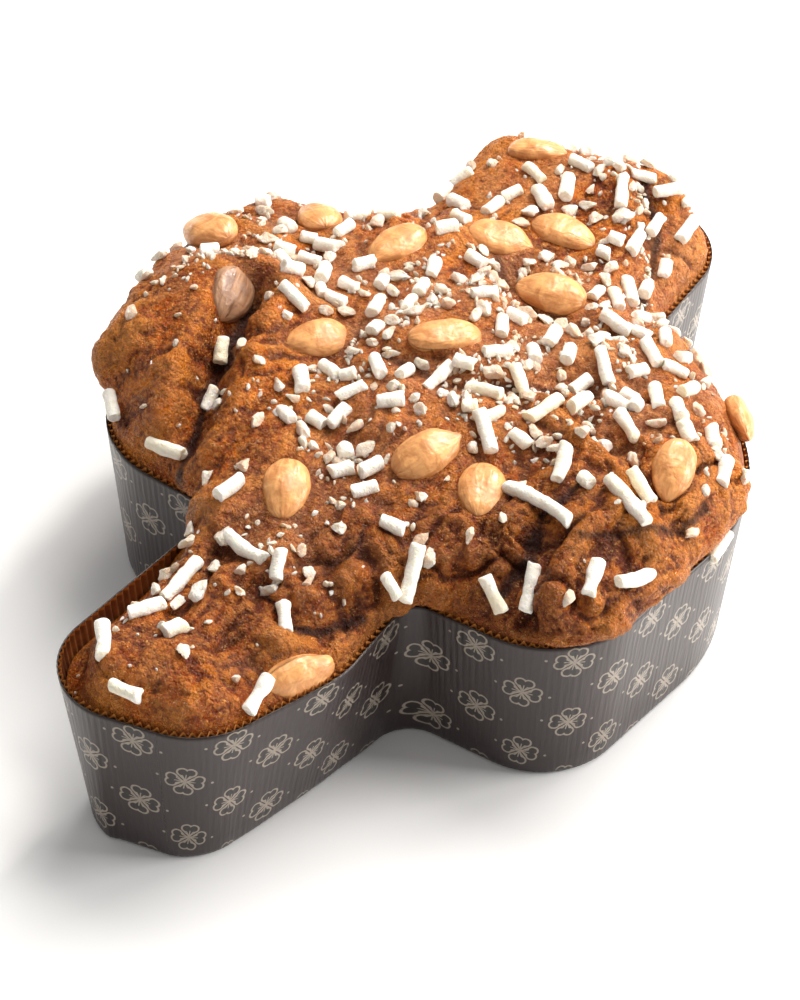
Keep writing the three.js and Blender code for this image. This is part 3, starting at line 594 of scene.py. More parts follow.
def crust_material():
    f = Finish("baked_crust", Roughness=0.35, Subsurface_Weight=0.04, Subsurface_Scale=0.002, Specular_IOR_Level=0.28)
    f.shader.inputs["Subsurface Radius"].default_value = (1.0, 0.4, 0.2)
    crease, hollow, strand = f.attribute("crease"), f.attribute("hollow"), f.attribute("strand")
    broad, middle, fine = f.noise(30, 3, 0.6, 0.5), f.noise(150, 4, 0.65, 0.7), f.noise(520, 5, 0.75, 0.4)
    glossy = f.noise(85, 3, 0.6, 0.4)
    crumb, crumb_tone = f.cells(520, f.warped(380, 0.0014))
    grain, grain_tone = f.cells(1050, f.warped(800, 0.0006))
    grit = f.noise(1500, 3, 0.7)
    painted_crease_shade, dark, brown = srgb(46, 12, 2), srgb(94, 32, 8), srgb(164, 66, 8)
    light, glaze, gold = srgb(214, 100, 16), srgb(172, 92, 50), srgb(246, 140, 30)
    pulled, toasted, painted_glint = srgb(240, 152, 62), srgb(248, 164, 76), srgb(255, 196, 120)
    painted_hollow_shade, raised, darker_front_colour = srgb(92, 30, 6), srgb(248, 148, 52), srgb(98, 46, 26)
    colour = f.mix(broad.between(0.36, 0.6), brown, light)
    colour = f.mix(f.noise(60, 3, 0.6, 1.0).between(0.48, 0.68, 0, 0.8), colour, gold)
    colour = f.mix((glossy * -1 + 1).between(0.46, 0.62, 0, 0.7), colour, glaze)
    colour = f.mix(strand.between(0.1, 0.7, 0, 0.6), colour, pulled)
    colour = f.mix(strand.between(-0.7, -0.1, 0.55, 0), colour, dark)
    colour = f.mix(crumb_tone.between(0.0, 0.4, 0.3, 0), colour, dark)
    colour = f.mix(grain_tone.between(0.55, 0.95, 0, 0.55), colour, toasted)
    colour = f.mix(grain_tone.between(0.0, 0.3, 0.35, 0), colour, dark)
    colour = f.mix(fine.between(0.34, 0.48, 0.5, 0), colour, dark)
    # Painted shade in the hollows and painted light on the peaks, read from the crust's own form.
    colour = f.mix((hollow + (middle - 0.5) * 0.4).between(0.52, 0.95, 0, 0.8), colour, painted_hollow_shade)
    colour = f.mix((hollow * -1 + 0.5).between(0.05, 0.4, 0, 0.45), colour, raised)
    # Darker brown over the front of the cake.
    colour = f.mix(f.attribute("baked") * 0.5, colour, darker_front_colour)
    frosted = f.mix((fine + (middle - 0.5) * 0.5).between(0.36, 0.62), srgb(170, 94, 56), srgb(238, 162, 108))
    colour = f.mix(f.attribute("frost") * 0.72, colour, frosted)
    # Painted glints: fine pale specks that stand in for sparkle off the glaze.
    colour = f.mix((grit + (fine - 0.5) * 0.6).between(0.6, 0.72, 0, 0.75), colour, painted_glint)
    # Painted shade, near black, in the creases, in a ring round each almond and low down by the paper.
    colour = f.mix((crease + (middle - 0.5) * 0.5).between(0.25, 1.0, 0, 0.9), colour, painted_crease_shade)
    f.drive("Base Color", colour)
    f.drive("Roughness", (glossy + (fine - 0.5) * 0.5).between(0.4, 0.6, 0.42, 0.16))
    f.bumps((middle, 0.0036), (crumb * -1, 0.0015), (fine, 0.0026), (grain * -1, 0.0010), (grit, 0.0006))
    return f.material


def sugar_material():
    f = Finish("pearl_sugar", Roughness=0.5, Subsurface_Weight=0.4, Subsurface_Scale=0.0016, Specular_IOR_Level=0.4)
    f.shader.inputs["Subsurface Radius"].default_value = (1.0, 0.85, 0.6)
    colour = f.mix(f.noise(28, 2).between(0.5, 0.72), srgb(255, 248, 236), srgb(250, 234, 202))
    colour = f.mix(f.noise(380, 4, 0.7).between(0.5, 0.72, 0, 0.4), colour, srgb(232, 206, 176))
    colour = f.mix(f.attribute("foot").between(0.3, 1.0, 0, 0.55), colour, srgb(222, 158, 92))
    f.drive("Base Color", colour)
    f.bumps((f.noise(600, 4, 0.65), 0.0007), (f.noise(1800, 3, 0.6), 0.0003))
    return f.material


def grain_material():
    f = Finish("sugar_grains", Roughness=0.3, Subsurface_Weight=0.5, Subsurface_Scale=0.0022, Transmission_Weight=0.15)
    f.shader.inputs["Subsurface Radius"].default_value = (1.0, 0.75, 0.5)
    colour = f.mix(f.noise(170, 2).between(0.4, 0.66), srgb(248, 234, 218), srgb(230, 198, 170))
    colour = f.mix(f.noise(60, 2).between(0.55, 0.75), colour, srgb(250, 244, 236))
    f.drive("Base Color", colour)
    f.bumps((f.noise(900, 4, 0.65), 0.0009),)
    return f.material


def almond_material():
    f = Finish("almond_skin", Roughness=0.36, Subsurface_Weight=0.15, Subsurface_Scale=0.0025, Specular_IOR_Level=0.55)
    f.shader.inputs["Subsurface Radius"].default_value = (1.0, 0.6, 0.3)
    along = f.coordinates("UV")
    streaks = f.noise(1.0, 3, 0.5, 0.8, (0.08, 0.4, 1), along)
    blotches = f.noise(0.2, 3, 0.6, 0.8, None, along)
    tip, tone = f.attribute("tip"), f.attribute("tone")
    colour = f.mix(blotches.between(0.36, 0.64), srgb(228, 166, 104), srgb(198, 132, 74))
    colour = f.mix(streaks.between(0.52, 0.72, 0, 0.4), colour, srgb(176, 112, 60))
    colour = f.mix((tip + (blotches - 0.5) * 0.5).between(0.7, 1.05, 0, 0.6), colour, srgb(164, 98, 48))
    dark = f.mix(streaks.between(0.4, 0.68), srgb(172, 130, 98), srgb(118, 82, 58))
    dark = f.mix((tip + (blotches - 0.5) * 0.7).between(0.5, 0.9, 0, 0.7), dark, srgb(190, 130, 84))
    f.drive("Base Color", f.mix(tone, colour, dark))
    f.drive("Roughness", blotches.between(0.35, 0.65, 0.28, 0.46))
    f.bumps((streaks, 0.0004), (f.noise(0.28, 2, 0.5, 0.4, None, along), 0.0005))
    return f.material


def case_material():
    """Dark coated paper with a light line print: rows of four-leaf ornaments, every second column half a row lower."""
    f = Finish("case_paper", Roughness=0.42, Coat_Weight=0.2, Coat_Roughness=0.24, Specular_IOR_Level=0.4)
    f.shader.inputs["Coat IOR"].default_value = 1.5
    split = f.tree.nodes.new("ShaderNodeSeparateXYZ")
    f.tree.links.new(f.coordinates("UV"), split.inputs[0])
    run, height = Value(f.tree, split.outputs[0]), Value(f.tree, split.outputs[1])
    columns = 2 * round(RIM_LENGTH / COLUMN_PITCH / 2)
    column = run * (columns / RIM_LENGTH)
    across = (column.math("FRACT") - 0.5) * (RIM_LENGTH / columns)
    shift = (column * 0.5).math("FRACT").math("GREATER_THAN", 0.5) * 0.5
    up = ((height / ROW_PITCH + shift + PRINT_PHASE).math("FRACT") - 0.5) * ROW_PITCH
    # Turned a little, then folded on one leaf: a runs out from the middle along the leaf, b across it.
    slope = math.radians(PRINT_TURN)
    p = across * math.cos(slope) + up * math.sin(slope)
    q = up * math.cos(slope) - across * math.sin(slope)
    radius = (p * p + q * q).math("SQRT")
    angle = q.math("ARCTAN2", p)
    folded = ((angle / (math.pi / 2) + 0.5).math("FRACT") - 0.5) * (math.pi / 2)
    a, b = radius * folded.math("COSINE"), (radius * folded.math("SINE")).math("ABSOLUTE")
    reach = MOTIF_SIZE / 2
    # A heart-shaped leaf: two round lobes at its outer end that narrow to the middle.
    lobe = ((a - 0.68 * reach) * (a - 0.68 * reach) + (b - 0.2 * reach) * (b - 0.2 * reach)).math("SQRT") - 0.27 * reach
    wedge = (b - a * 0.56 + 0.03 * reach).math("MAXIMUM", a - 0.68 * reach)
    leaf = lobe.math("MINIMUM", wedge * 0.85)
    stroke = leaf.math("ABSOLUTE").between(0.2, 0.46, 1, 0)
    vein = (b.between(0.1, 0.3, 1, 0)).math("MINIMUM", a.between(0.5 * reach, 0.55 * reach, 1, 0))
    ray_angle = (folded.math("ABSOLUTE") - math.pi / 4).math("ABSOLUTE") * radius
    ray_span = radius.between(0.2 * reach, 0.25 * reach) * radius.between(0.72 * reach, 0.8 * reach, 1, 0)
    rays = (ray_angle - 0.45).math("ABSOLUTE").between(0.12, 0.3, 1, 0) * ray_span
    # A dot at each side of every ornament, drawn from the column beside it.
    beside = across - across.math("SIGN") * (RIM_LENGTH / columns)
    other_up = ((height / ROW_PITCH - shift + (PRINT_PHASE + 0.5)).math("FRACT") - 0.5) * ROW_PITCH
    dot_place = (beside * math.cos(slope) + other_up * math.sin(slope)).math("ABSOLUTE") - reach * DOT_REACH
    dot_level = other_up * math.cos(slope) - beside * math.sin(slope)
    dots = ((dot_place * dot_place + dot_level * dot_level).math("SQRT")).between(0.4, 0.6, 1, 0)
    lines = stroke.math("MAXIMUM", vein).math("MAXIMUM", rays).math("MAXIMUM", dots)
    lines = lines * f.noise(1.3, 3, 0.7, 0, None, f.coordinates("UV")).between(0.3, 0.5, 0.55, 1.0)
    inside = leaf.between(-0.25, 0.0, 1, 0)
    # No print on the floor or round the fold at the foot.
    printed = height.between(1.0, 3.0)
    leaf_shade, ink = srgb(28, 20, 16), srgb(150, 138, 124)
    mottled = f.mix(f.noise(0.02, 3, 0.6, 0, None, f.coordinates("UV")), srgb(40, 28, 26), srgb(46, 34, 32))
    colour = f.mix(inside * 0.75 * printed, mottled, leaf_shade)
    colour = f.mix(lines * 0.9 * printed, colour, ink)
    f.drive("Base Color", colour)
    f.bumps((f.noise(0.35, 3, 0.6, 0, (1, 0.12, 1), f.coordinates("UV")), 0.0004),)
    return f.material


def lining_material():
    f = Finish("case_lining", Roughness=0.6)
    brown, tan, golden = srgb(104, 56, 24), srgb(140, 82, 36), srgb(196, 122, 50)
    colour = f.mix(f.noise(160, 3).between(0.35, 0.65), brown, tan)
    f.drive("Base Color", f.mix(f.attribute("edge").between(0.5, 0.95), colour, golden))
    f.bumps((f.noise(900, 3), 0.0002),)
    return f.material


# ---------------------------------------------------------------- sugar: the seeded draw
def sugar_share(x, y, regions):
    return min(1.0, max(share * math.exp(-((x - cx) ** 2 + (y - cy) ** 2) / (r * r)) for cx, cy, r, share in regions))


def near_almond(x, y, reach):
    for ax, ay, heading, size, *_ in ALMONDS:
        c, s = math.cos(math.radians(heading)), math.sin(math.radians(heading))
        along = ((x - ax) * c + (y - ay) * s) / (ALMOND_LENGTH * size / 2 + reach)
        across = ((y - ay) * c - (x - ax) * s) / (ALMOND_WIDTH * size / 2 + reach)
        if along * along + across * across < 1:
            return True
    return False


def scatter_sugar():
    """Every large piece of sugar: the rods that lie alone, then the scattered ones, clear of almonds and each other."""
    random = seeded_random(SCATTER_SEED)
    pieces = [("rod", x, y, heading, length, bend, ROD_RADIUS, length * 0.5, 0)
              for x, y, heading, length, bend in LONE_RODS]
    for row, (kind, count, shortest, longest, room) in enumerate(SCATTER):
        regions = SUGARED if row < SHARED_ROWS else FINE_SUGARED
        placed, attempt = 0, 0
        while attempt < count * SCATTER_TRIES and placed < count:
            attempt += 1
            x, y = -FIELD_X + 2 * FIELD_X * random(), -FIELD_Y + 2 * FIELD_Y * random()
            chance, heading = random(), 360 * random()
            length = shortest + (longest - shortest) * random()
            bend = 40 * random() - 20 if random() < 0.25 else 0
            radius = ROD_RADIUS * (0.85 + 0.25 * random())
            grain_seed = int(random() * 1e6)
            if chance > sugar_share(x, y, regions) or rim_distance(x, y)[0, 0] < RIM_CLEAR:
                continue
            if near_almond(x, y, length / 2 + (1 if kind == "rod" else 0.5)):
                continue
            if any(math.hypot(p[1] - x, p[2] - y) < (p[7] + room) / 2 for p in pieces):
                continue
            pieces.append((kind, x, y, heading, length, bend, radius, room, grain_seed))
            placed += 1
    return pieces


# ---------------------------------------------------------------- crust
def coarse_crust():
    """The closed form of the crust and the top of the crumb, as the solid has it."""
    stations = rim_outline(CRUST_STEP)
    count = len(stations)

    def edge_ring(angle):
        distance = CONTACT + EDGE * (1 - math.cos(angle))
        plan = stations[:, :2] - stations[:, 2:] * distance
        return crust_points(plan[:, 0], plan[:, 1], np.column_stack([np.full(count, distance), stations[:, 2:]]))

    contact = wall_points(stations, CONTACT, edge_ring(0)[:, 2])
    raised = spill_at(contact[:, 0], contact[:, 1])[0]
    lip = wall_points(stations, CONTACT, contact[:, 2] + 0.4 + (0.6 + LIP_CLEAR) * raised)
    last_angle = math.radians(54)
    rings = [wall_points(stations, CONTACT, RIM_HEIGHT - 14), contact, lip]
    rings += [edge_ring(last_angle * k / 9) for k in range(1, 10)]
    points = np.concatenate(rings)
    faces = [list(f) for f in bands([r * count for r in range(len(rings))], count)]
    inset = CONTACT + EDGE * (1 - math.cos(last_angle))
    crown = stations[:, :2] - stations[:, 2:] * inset
    # A grid of triangles over the whole plan, of which the points well inside the edge stay.
    rows, columns = np.meshgrid(np.arange(120), np.arange(-40, 41), indexing="ij")
    grid = np.column_stack([(columns + rows % 2 / 2).ravel() * CRUST_STEP, -165 + rows.ravel() * CRUST_STEP * 0.866])
    grid = grid[rim_distance(grid[:, 0], grid[:, 1])[:, 0] > inset + 0.62 * CRUST_STEP]
    plan = np.vstack([crown, grid])
    outline = [list(range(count))]
    verts, _, triangles, *_ = delaunay_2d_cdt([Vector(p) for p in plan.tolist()], [], outline, 1, 1e-6)
    flat = np.array([v[:] for v in verts])
    top = crust_points(flat[:, 0], flat[:, 1])
    top[:count] = rings[-1]
    start = len(points) - count
    faces += [[start + k if k < count else len(points) + k - count for k in t] for t in triangles]
    points = np.vstack([points, top[count:]])
    verts, _, triangles, *_ = delaunay_2d_cdt([Vector(p[:2]) for p in rings[0].tolist()], [], outline, 1, 1e-6)
    faces += [list(reversed(t)) for t in triangles]
    return points, faces


def remeshed(points, faces, voxel):
    """The same form with even four-sided faces."""
    mesh = bpy.data.meshes.new("coarse")
    mesh.from_pydata((points / 1000).tolist(), [], faces)
    carrier = bpy.data.objects.new("coarse", mesh)
    bpy.context.scene.collection.objects.link(carrier)
    modifier = carrier.modifiers.new("even", "REMESH")
    modifier.mode, modifier.voxel_size, modifier.adaptivity = "VOXEL", voxel / 1000, 0
    result = bpy.data.meshes.new_from_object(carrier.evaluated_get(bpy.context.evaluated_depsgraph_get()))
    fine = np.empty(len(result.vertices) * 3, np.float32)
    result.vertices.foreach_get("co", fine)
    quads = np.empty(len(result.loops), np.int32)
    result.loops.foreach_get("vertex_index", quads)
    for owner, item in ((bpy.data.objects, carrier), (bpy.data.meshes, mesh), (bpy.data.meshes, result)):
        owner.remove(item)
    return fine.reshape(-1, 3).astype(float) * 1000, quads.reshape(-1, 4)


def almond_reach(points, almond, extra=0.0):
    """How far points of the crust lie from an almond's middle, 1 at the almond's own outline."""
    size, (turn, place) = almond[3], almond_frame(almond)
    local = (points - place) @ turn
    half_length, half_width = ALMOND_LENGTH * size / 2 + extra, ALMOND_WIDTH * size / 2 + extra
    near = np.hypot(local[:, 0] / half_length, local[:, 1] / half_width)
    return np.where(np.abs(local[:, 2]) < 12, near, 9.0)


def crust_relief(points):
    """What baking adds to the smooth form, lumps, strands, torn places and crumb: height, painted shade in creases and
    strands.
    """
    warp = np.column_stack([noise(points, 15, 71 + k) for k in range(3)]) * 4.0
    warp = warp + np.column_stack([noise(points, 5, 75 + k) for k in range(3)]) * 1.1
    bent = points + warp
    x, y = points[:, 0], points[:, 1]
    torn = np.clip(sum(share * bump(x, y, cx, cy, r) for cx, cy, r, share in TORN), 0, 1)
    torn = np.clip(torn + 0.4 * smooth(noise(points, 27, 27), 0.0, 0.6), 0, 1)
    # Strands of pulled dough that run out from the middle of the cake.
    out = bent[:, :2] - np.array([-4, 18])
    reach = np.maximum(np.hypot(out[:, 0], out[:, 1]), 12)
    strand = noise(np.column_stack([11 * out[:, 0] / reach, 11 * out[:, 1] / reach, reach / 26]), 1.0, 91)
    finer = noise(np.column_stack([24 * out[:, 0] / reach, 24 * out[:, 1] / reach, reach / 16]), 1.0, 92)
    strand = strand + 0.5 * finer
    far = smooth(reach, 20, 50)
    height = 1.2 * noise(bent, 16, 21) + (0.5 + 0.9 * torn) * noise(bent, 8, 22) + (0.5 + 1.3 * torn) * far * strand
    broken = smooth(noise(points, 30, 28), -0.35, 0.25)
    wide = np.exp(-((noise(bent * np.array([1, 0.7, 1]), 21, 23) / 0.075) ** 2)) * broken
    narrow = np.exp(-((noise(bent, 9.5, 29) / 0.12) ** 2)) * torn
    folded = np.exp(-((noise(bent * np.array([1, 0.8, 1]), 17, 47) / 0.14) ** 2)) * torn
    height = height - 1.6 * wide * (0.2 + 0.8 * torn) - 0.6 * narrow - 2.2 * folded
    height = height + (0.8 + 2.4 * torn) * (lumps(bent, 15, 43) - 0.55)
    height = height + (0.4 + 0.8 * torn) * (lumps(bent, 6.5, 41) - 0.55)
    height = height + (0.35 + 0.45 * torn) * (lumps(points + warp * 0.3, 3.4, 45) - 0.55)
    height = height + 0.35 * (lumps(points + warp * 0.15, 2.0, 49) - 0.55) + 0.15 * noise(points, 1.6, 25)
    # The share of painted shade in the creases and folds, for the material.
    crease = 0.6 * wide * (0.1 + 0.9 * torn) + 0.2 * narrow * torn + 0.45 * folded
    for path, width, depth in FOLDS:
        d = path_distance((bent[:, 0] + x) / 2, (bent[:, 1] + y) / 2, path) / width
        crease = np.maximum(crease, min(1.0, 0.45 + depth / 10) * np.exp(-((d * 2.2) ** 2)))
    upper = smooth(points[:, 2], RIM_HEIGHT - 2, RIM_HEIGHT + 6)
    return height * (0.25 + 0.75 * upper), crease, far * strand


def baked_surface():
    """The fine crust above its cut: points and faces, painted shade in creases, round almonds and by the paper, and how
    far the dough is pulled.
    """
    points, quads = remeshed(*coarse_crust(), VOXEL)
    points = relaxed(points, quads, 4)
    quads = quads[(points[quads][:, :, 2] > CUT).any(1)]
    used, quads = np.unique(quads, return_inverse=True)
    points, quads = points[used], quads.reshape(-1, 4)
    normals = point_normals(points, quads)
    height, crease, strand = crust_relief(points)
    almond_shade_ring = np.zeros(len(points))
    for almond in ALMONDS:
        near = almond_reach(points, almond)
        hold = 1 - smooth(near, 0.9, 1.15)
        height = height * (1 - hold) - 0.2 * hold
        almond_shade_ring = np.maximum(almond_shade_ring, np.exp(-(((near - 0.96) / 0.07) ** 2)))
    # The crust stays inside the paper below the rim and thin where it meets it.
    distance = rim_distance(points[:, 0], points[:, 1])[:, 0]
    free = np.maximum(smooth(distance, CONTACT, 9), smooth(points[:, 2], RIM_HEIGHT + 1.5, RIM_HEIGHT + 6))
    height = height * free - 0.25 * (1 - free)
    points = points + normals * height[:, None]
    # Painted shade also in a ring round each almond and low down where the crust meets the paper.
    low = 1 - smooth(points[:, 2], RIM_HEIGHT - 3, RIM_HEIGHT + 3)
    crease = np.clip(np.maximum(crease * free, 0.55 * almond_shade_ring) + 0.5 * low, 0, 1)
    return points, quads, distance, crease, strand


def crust_values(points, quads, distance):
    """What the crust's material and the fine grains read at each point: hollows, grains, frost and the darker front."""
    x, y, normals = points[:, 0], points[:, 1], point_normals(points, quads)
    # Hollows and peaks, fine and broad, against the same form drawn smooth.
    fine = ((relaxed(points, quads, 8) - points) * normals).sum(1)
    broad = ((relaxed(points, quads, 90) - points) * normals).sum(1)
    # The material paints shade into the hollows and light onto the peaks by this value.
    hollow = np.clip(0.5 + 1.6 * fine + 0.28 * broad, 0, 1)
    # How thickly the fine grains lie, in loose clusters, and the pale film of sugar among them.
    chances = np.max([share * bump(x, y, cx, cy, r) for cx, cy, r, share in FINE_SUGARED], axis=0)
    frost = np.clip(1.4 * chances - 0.15, 0, 1) * smooth(noise(points, 17, 33), -0.7, 0.2)
    clusters = smooth(noise(points, 13, 31) + 0.5 * noise(points, 6, 32), -0.05, 0.5)
    facing = smooth(normals[:, 2], 0.2, 0.6)
    covered = np.zeros(len(points))
    for almond in ALMONDS:
        covered = np.maximum(covered, almond_reach(points, almond, 1.5) < 1)
    grains = np.clip(chances * 1.1, 0.06, 1) * (0.12 + 0.88 * clusters)
    grains = grains * facing * (1 - covered) * smooth(distance, 3, 8)
    baked = np.clip(sum(share * bump(x, y, cx, cy, r) for cx, cy, r, share in DARKER_FRONT), 0, 1)
    return {"hollow": hollow, "grains": grains, "frost": frost, "baked": baked}


def open_edges(quads):
    """Loops of points along the edges that belong to one face alone, the longest last."""
    edges = np.concatenate([quads[:, [k, (k + 1) % 4]] for k in range(4)])
    keys = {(int(a), int(b)) for a, b in edges}
    following = {a: b for a, b in keys if (b, a) not in keys}
    loops = []
    while following:
        loop = [next(iter(following))]
        while following and loop[-1] in following:
            loop.append(following.pop(loop[-1]))
        loops.append(loop[:-1])
    return sorted(loops, key=len)


def with_skirt(points, quads):
    """The whole closed piece: below the fine crust, plain walls run down inside the case to its floor."""
    *holes, rim_loop = open_edges(quads)
    faces = [list(q) for q in quads] + [list(reversed(loop)) for loop in holes if len(loop) > 2]
    rim_loop = np.array(rim_loop)
    edge = points[rim_loop, :2]
    way = rim_distance(edge[:, 0], edge[:, 1])[:, 1:]
    steep = TAPER + HEAD_TAPER * smooth(-edge[:, 1], 60, 140)
    steep = steep + sum(d * bump(edge[:, 0], edge[:, 1], cx, cy, r) for cx, cy, r, d in PUSHED)
    rings, added = [rim_loop], []
    for z, clear in SKIRT:
        lean = steep * (CUT - z) / RIM_HEIGHT + clear
        rings.append(len(points) + np.arange(len(rim_loop)) + len(rim_loop) * len(added))
        added.append(np.column_stack([edge - way * lean[:, None], np.full(len(rim_loop), z)]))
    for upper, lower in zip(rings, rings[1:]):
        faces += np.column_stack([np.roll(upper, -1), upper, lower, np.roll(lower, -1)]).tolist()
    faces.append(rings[-1].tolist())
    return np.vstack([points, *added]), faces


def build_crust():
    points, quads, distance, crease, strand = baked_surface()
    values = {"crease": crease, "strand": strand, **crust_values(points, quads, distance)}
    closed, faces = with_skirt(points, quads)
    floats = {key: np.pad(value, (0, len(closed) - len(points))) for key, value in values.items()}
    crust = to_object("crust", closed, faces, crust_material(), floats=floats)
    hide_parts("cake")
    return crust


# ---------------------------------------------------------------- almonds
def almond_profile(s):
    """Half the width of an almond along its length from -1 to 1: blunt at one end and pointed at the other."""
    widest = -0.18
    blunt, pointed = (s - widest) / (1 + widest), np.clip((s - widest) / (1 - widest), 0, 1)
    return np.where(s < widest, np.sqrt(np.clip(1 - blunt * blunt, 0, 1)), (1 - pointed**2.1) ** 0.66)


def build_almond(index, almond, material):
    size, (turn, place) = almond[3], almond_frame(almond)
    rings, sides = 46, 40
    s = -np.cos(np.linspace(0.02, math.pi - 0.02, rings))
    angle = np.arange(sides) * 2 * math.pi / sides
    share = np.maximum(almond_profile(s), 0.02)
    grid_s, grid_a = np.repeat(s, sides), np.tile(angle, rings)
    wide = np.repeat(share, sides)
    half = np.array([ALMOND_LENGTH, ALMOND_WIDTH, ALMOND_HEIGHT]) * size / 2
    # Fuller over the middle than a plain round section, and a little uneven.
    round_y, round_z = np.cos(grid_a), np.sin(grid_a)
    local = np.column_stack([half[0] * grid_s, half[1] * wide * np.sign(round_y) * np.abs(round_y) ** 0.92,
                             half[2] * wide * np.sign(round_z) * np.abs(round_z) ** 0.86])
    seed = 500 + 7 * index
    out = unit(np.column_stack([local[:, 0] / half[0] ** 2, local[:, 1] / half[1] ** 2, local[:, 2] / half[2] ** 2]))
    uneven = 0.8 * noise(local, 10, seed) + 0.35 * noise(local, 4.2, seed + 1)
    stripes = np.column_stack([local[:, 0] * 0.35, local[:, 1:]])
    uneven = uneven + 0.16 * (ridges(stripes, 3.0, seed + 2) - 0.5) + 0.05 * (ridges(stripes, 1.4, seed + 3) - 0.5)
    uneven = uneven * smooth(wide, 0.02, 0.35)
    local = local + out * uneven[:, None]
    points = np.vstack([local, [[-half[0], 0, 0], [half[0], 0, 0]]])
    faces = [list(f) for f in bands([r * sides for r in range(rings)], sides)]
    first, last = len(local), len(local) + 1
    for k in range(sides):
        faces.append([first, (k + 1) % sides, k])
        faces.append([last, (rings - 1) * sides + k, (rings - 1) * sides + (k + 1) % sides])
    uv = np.column_stack([points[:, 0] + 60 * index, np.append(grid_a * 6, [0, 0])])
    tip = np.append(np.abs(grid_s) ** 3, [1, 1])
    tone = 1.0 if index == DARK_ALMOND else 0.0
    piece = to_object(f"almond_skin_{index + 1:02d}", points @ turn.T + place, faces, material, uv=uv,
                      floats={"tip": tip, "tone": np.full(len(points), tone)})
    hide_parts(f"almond_{index + 1:02d}")


# ---------------------------------------------------------------- pearl sugar
def rod_points(length, radius, bend, seed):
    """A rod of pressed sugar with worn ends, bent sideways if need be: points, faces and how low each point is."""
    sides = 18
    round_off = min(0.2 * radius, 0.1 * length)
    turns = np.linspace(0, math.pi / 2, 3)
    cap_s = np.concatenate([[0.0, 0.0, 0.0], round_off * (1 - np.cos(turns[1:]))])
    edge = 1 - round_off / radius
    cap_r = np.concatenate([[0.3 * edge, 0.65 * edge, edge], 1 - round_off / radius * (1 - np.sin(turns[1:]))])
    inner = np.linspace(round_off, length - round_off, max(7, int(length / 0.9)))[1:-1]
    s = np.concatenate([cap_s, inner, length - cap_s[::-1]])
    r = np.concatenate([cap_r, np.ones(len(inner)), cap_r[::-1]]) * radius
    s, r = np.repeat(s, sides) - length / 2, np.repeat(r, sides)
    angle = np.tile(np.arange(sides) * 2 * math.pi / sides, len(s) // sides)
    # Broken ends: each end leans and is rough.
    at_end = smooth(np.abs(s), length / 2 - 1.2, length / 2)
    tilt = np.array([seed * 0.7 % 1 - 0.5, seed * 1.3 % 1 - 0.5]) * 0.8
    across = np.column_stack([np.cos(angle) * r, np.sin(angle) * r, np.sign(s) * 40 + seed % 90])
    s = s + at_end * (across[:, :2] @ tilt * 0.5 + 0.4 * noise(across, 1.6, 63))
    turn = math.radians(bend) * s / length
    side, high = np.cos(angle) * r, np.sin(angle) * r
    sag = (np.cos(turn) - 1) * (length / math.radians(bend)) if bend else 0
    local = np.column_stack([s - side * np.sin(turn), sag + side * np.cos(turn), high])
    axis = np.column_stack([s * (1 - 0.6 / np.maximum(length, 1)), sag + np.zeros(len(s)), np.zeros(len(s))])
    out = unit(local - axis)
    at = local + np.array([seed * 0.37 % 500, seed * 0.11 % 300, 0])
    local = local + out * (0.42 * noise(at, 4.5, 61) + 0.2 * noise(at, 1.7, 62) + 0.08 * noise(at, 0.9, 64))[:, None]
    rings = len(s) // sides
    faces = bands([k * sides for k in range(rings)], sides).tolist()
    faces += [list(range(sides))[::-1], list(range((rings - 1) * sides, rings * sides))]
    low = np.clip(-high / radius, 0, 1) * smooth(noise(at, 6, 65), -0.4, 0.5)
    return local, faces, low


def grain_shape(random, level):
    """A broken crystal of unit size: a ball with flat places cut off it."""
    bm = bmesh.new()
    bmesh.ops.create_icosphere(bm, subdivisions=level, radius=1)
    directions = np.array([v.co[:] for v in bm.verts])
    faces = [[v.index for v in face.verts] for face in bm.faces]
    bm.free()
    cuts = unit(np.array([[random() - 0.5, random() - 0.5, random() - 0.5] for _ in range(8)]))
    depth = np.array([0.2 + 0.26 * random() for _ in cuts])
    facing = directions @ cuts.T
    radius = np.where(facing > 0.05, depth / np.maximum(facing, 0.05), 9.0).min(1)
    stretch = np.array([1.35, 0.75 + 0.35 * random(), 0.65 + 0.3 * random()])
    rough = 1 + 0.16 * noise(directions + 9 * random(), 0.5, 66) + 0.07 * noise(directions, 0.22, 67)
    return directions * (np.minimum(radius, 0.55) * rough)[:, None] * stretch, faces


def joined(parts):
    """One set of points and faces from many."""
    points, faces, start = [], [], 0
    for p, f in parts:
        points.append(p)
        faces += [[k + start for k in face] for face in f]
        start += len(p)
    return np.vstack(points), faces


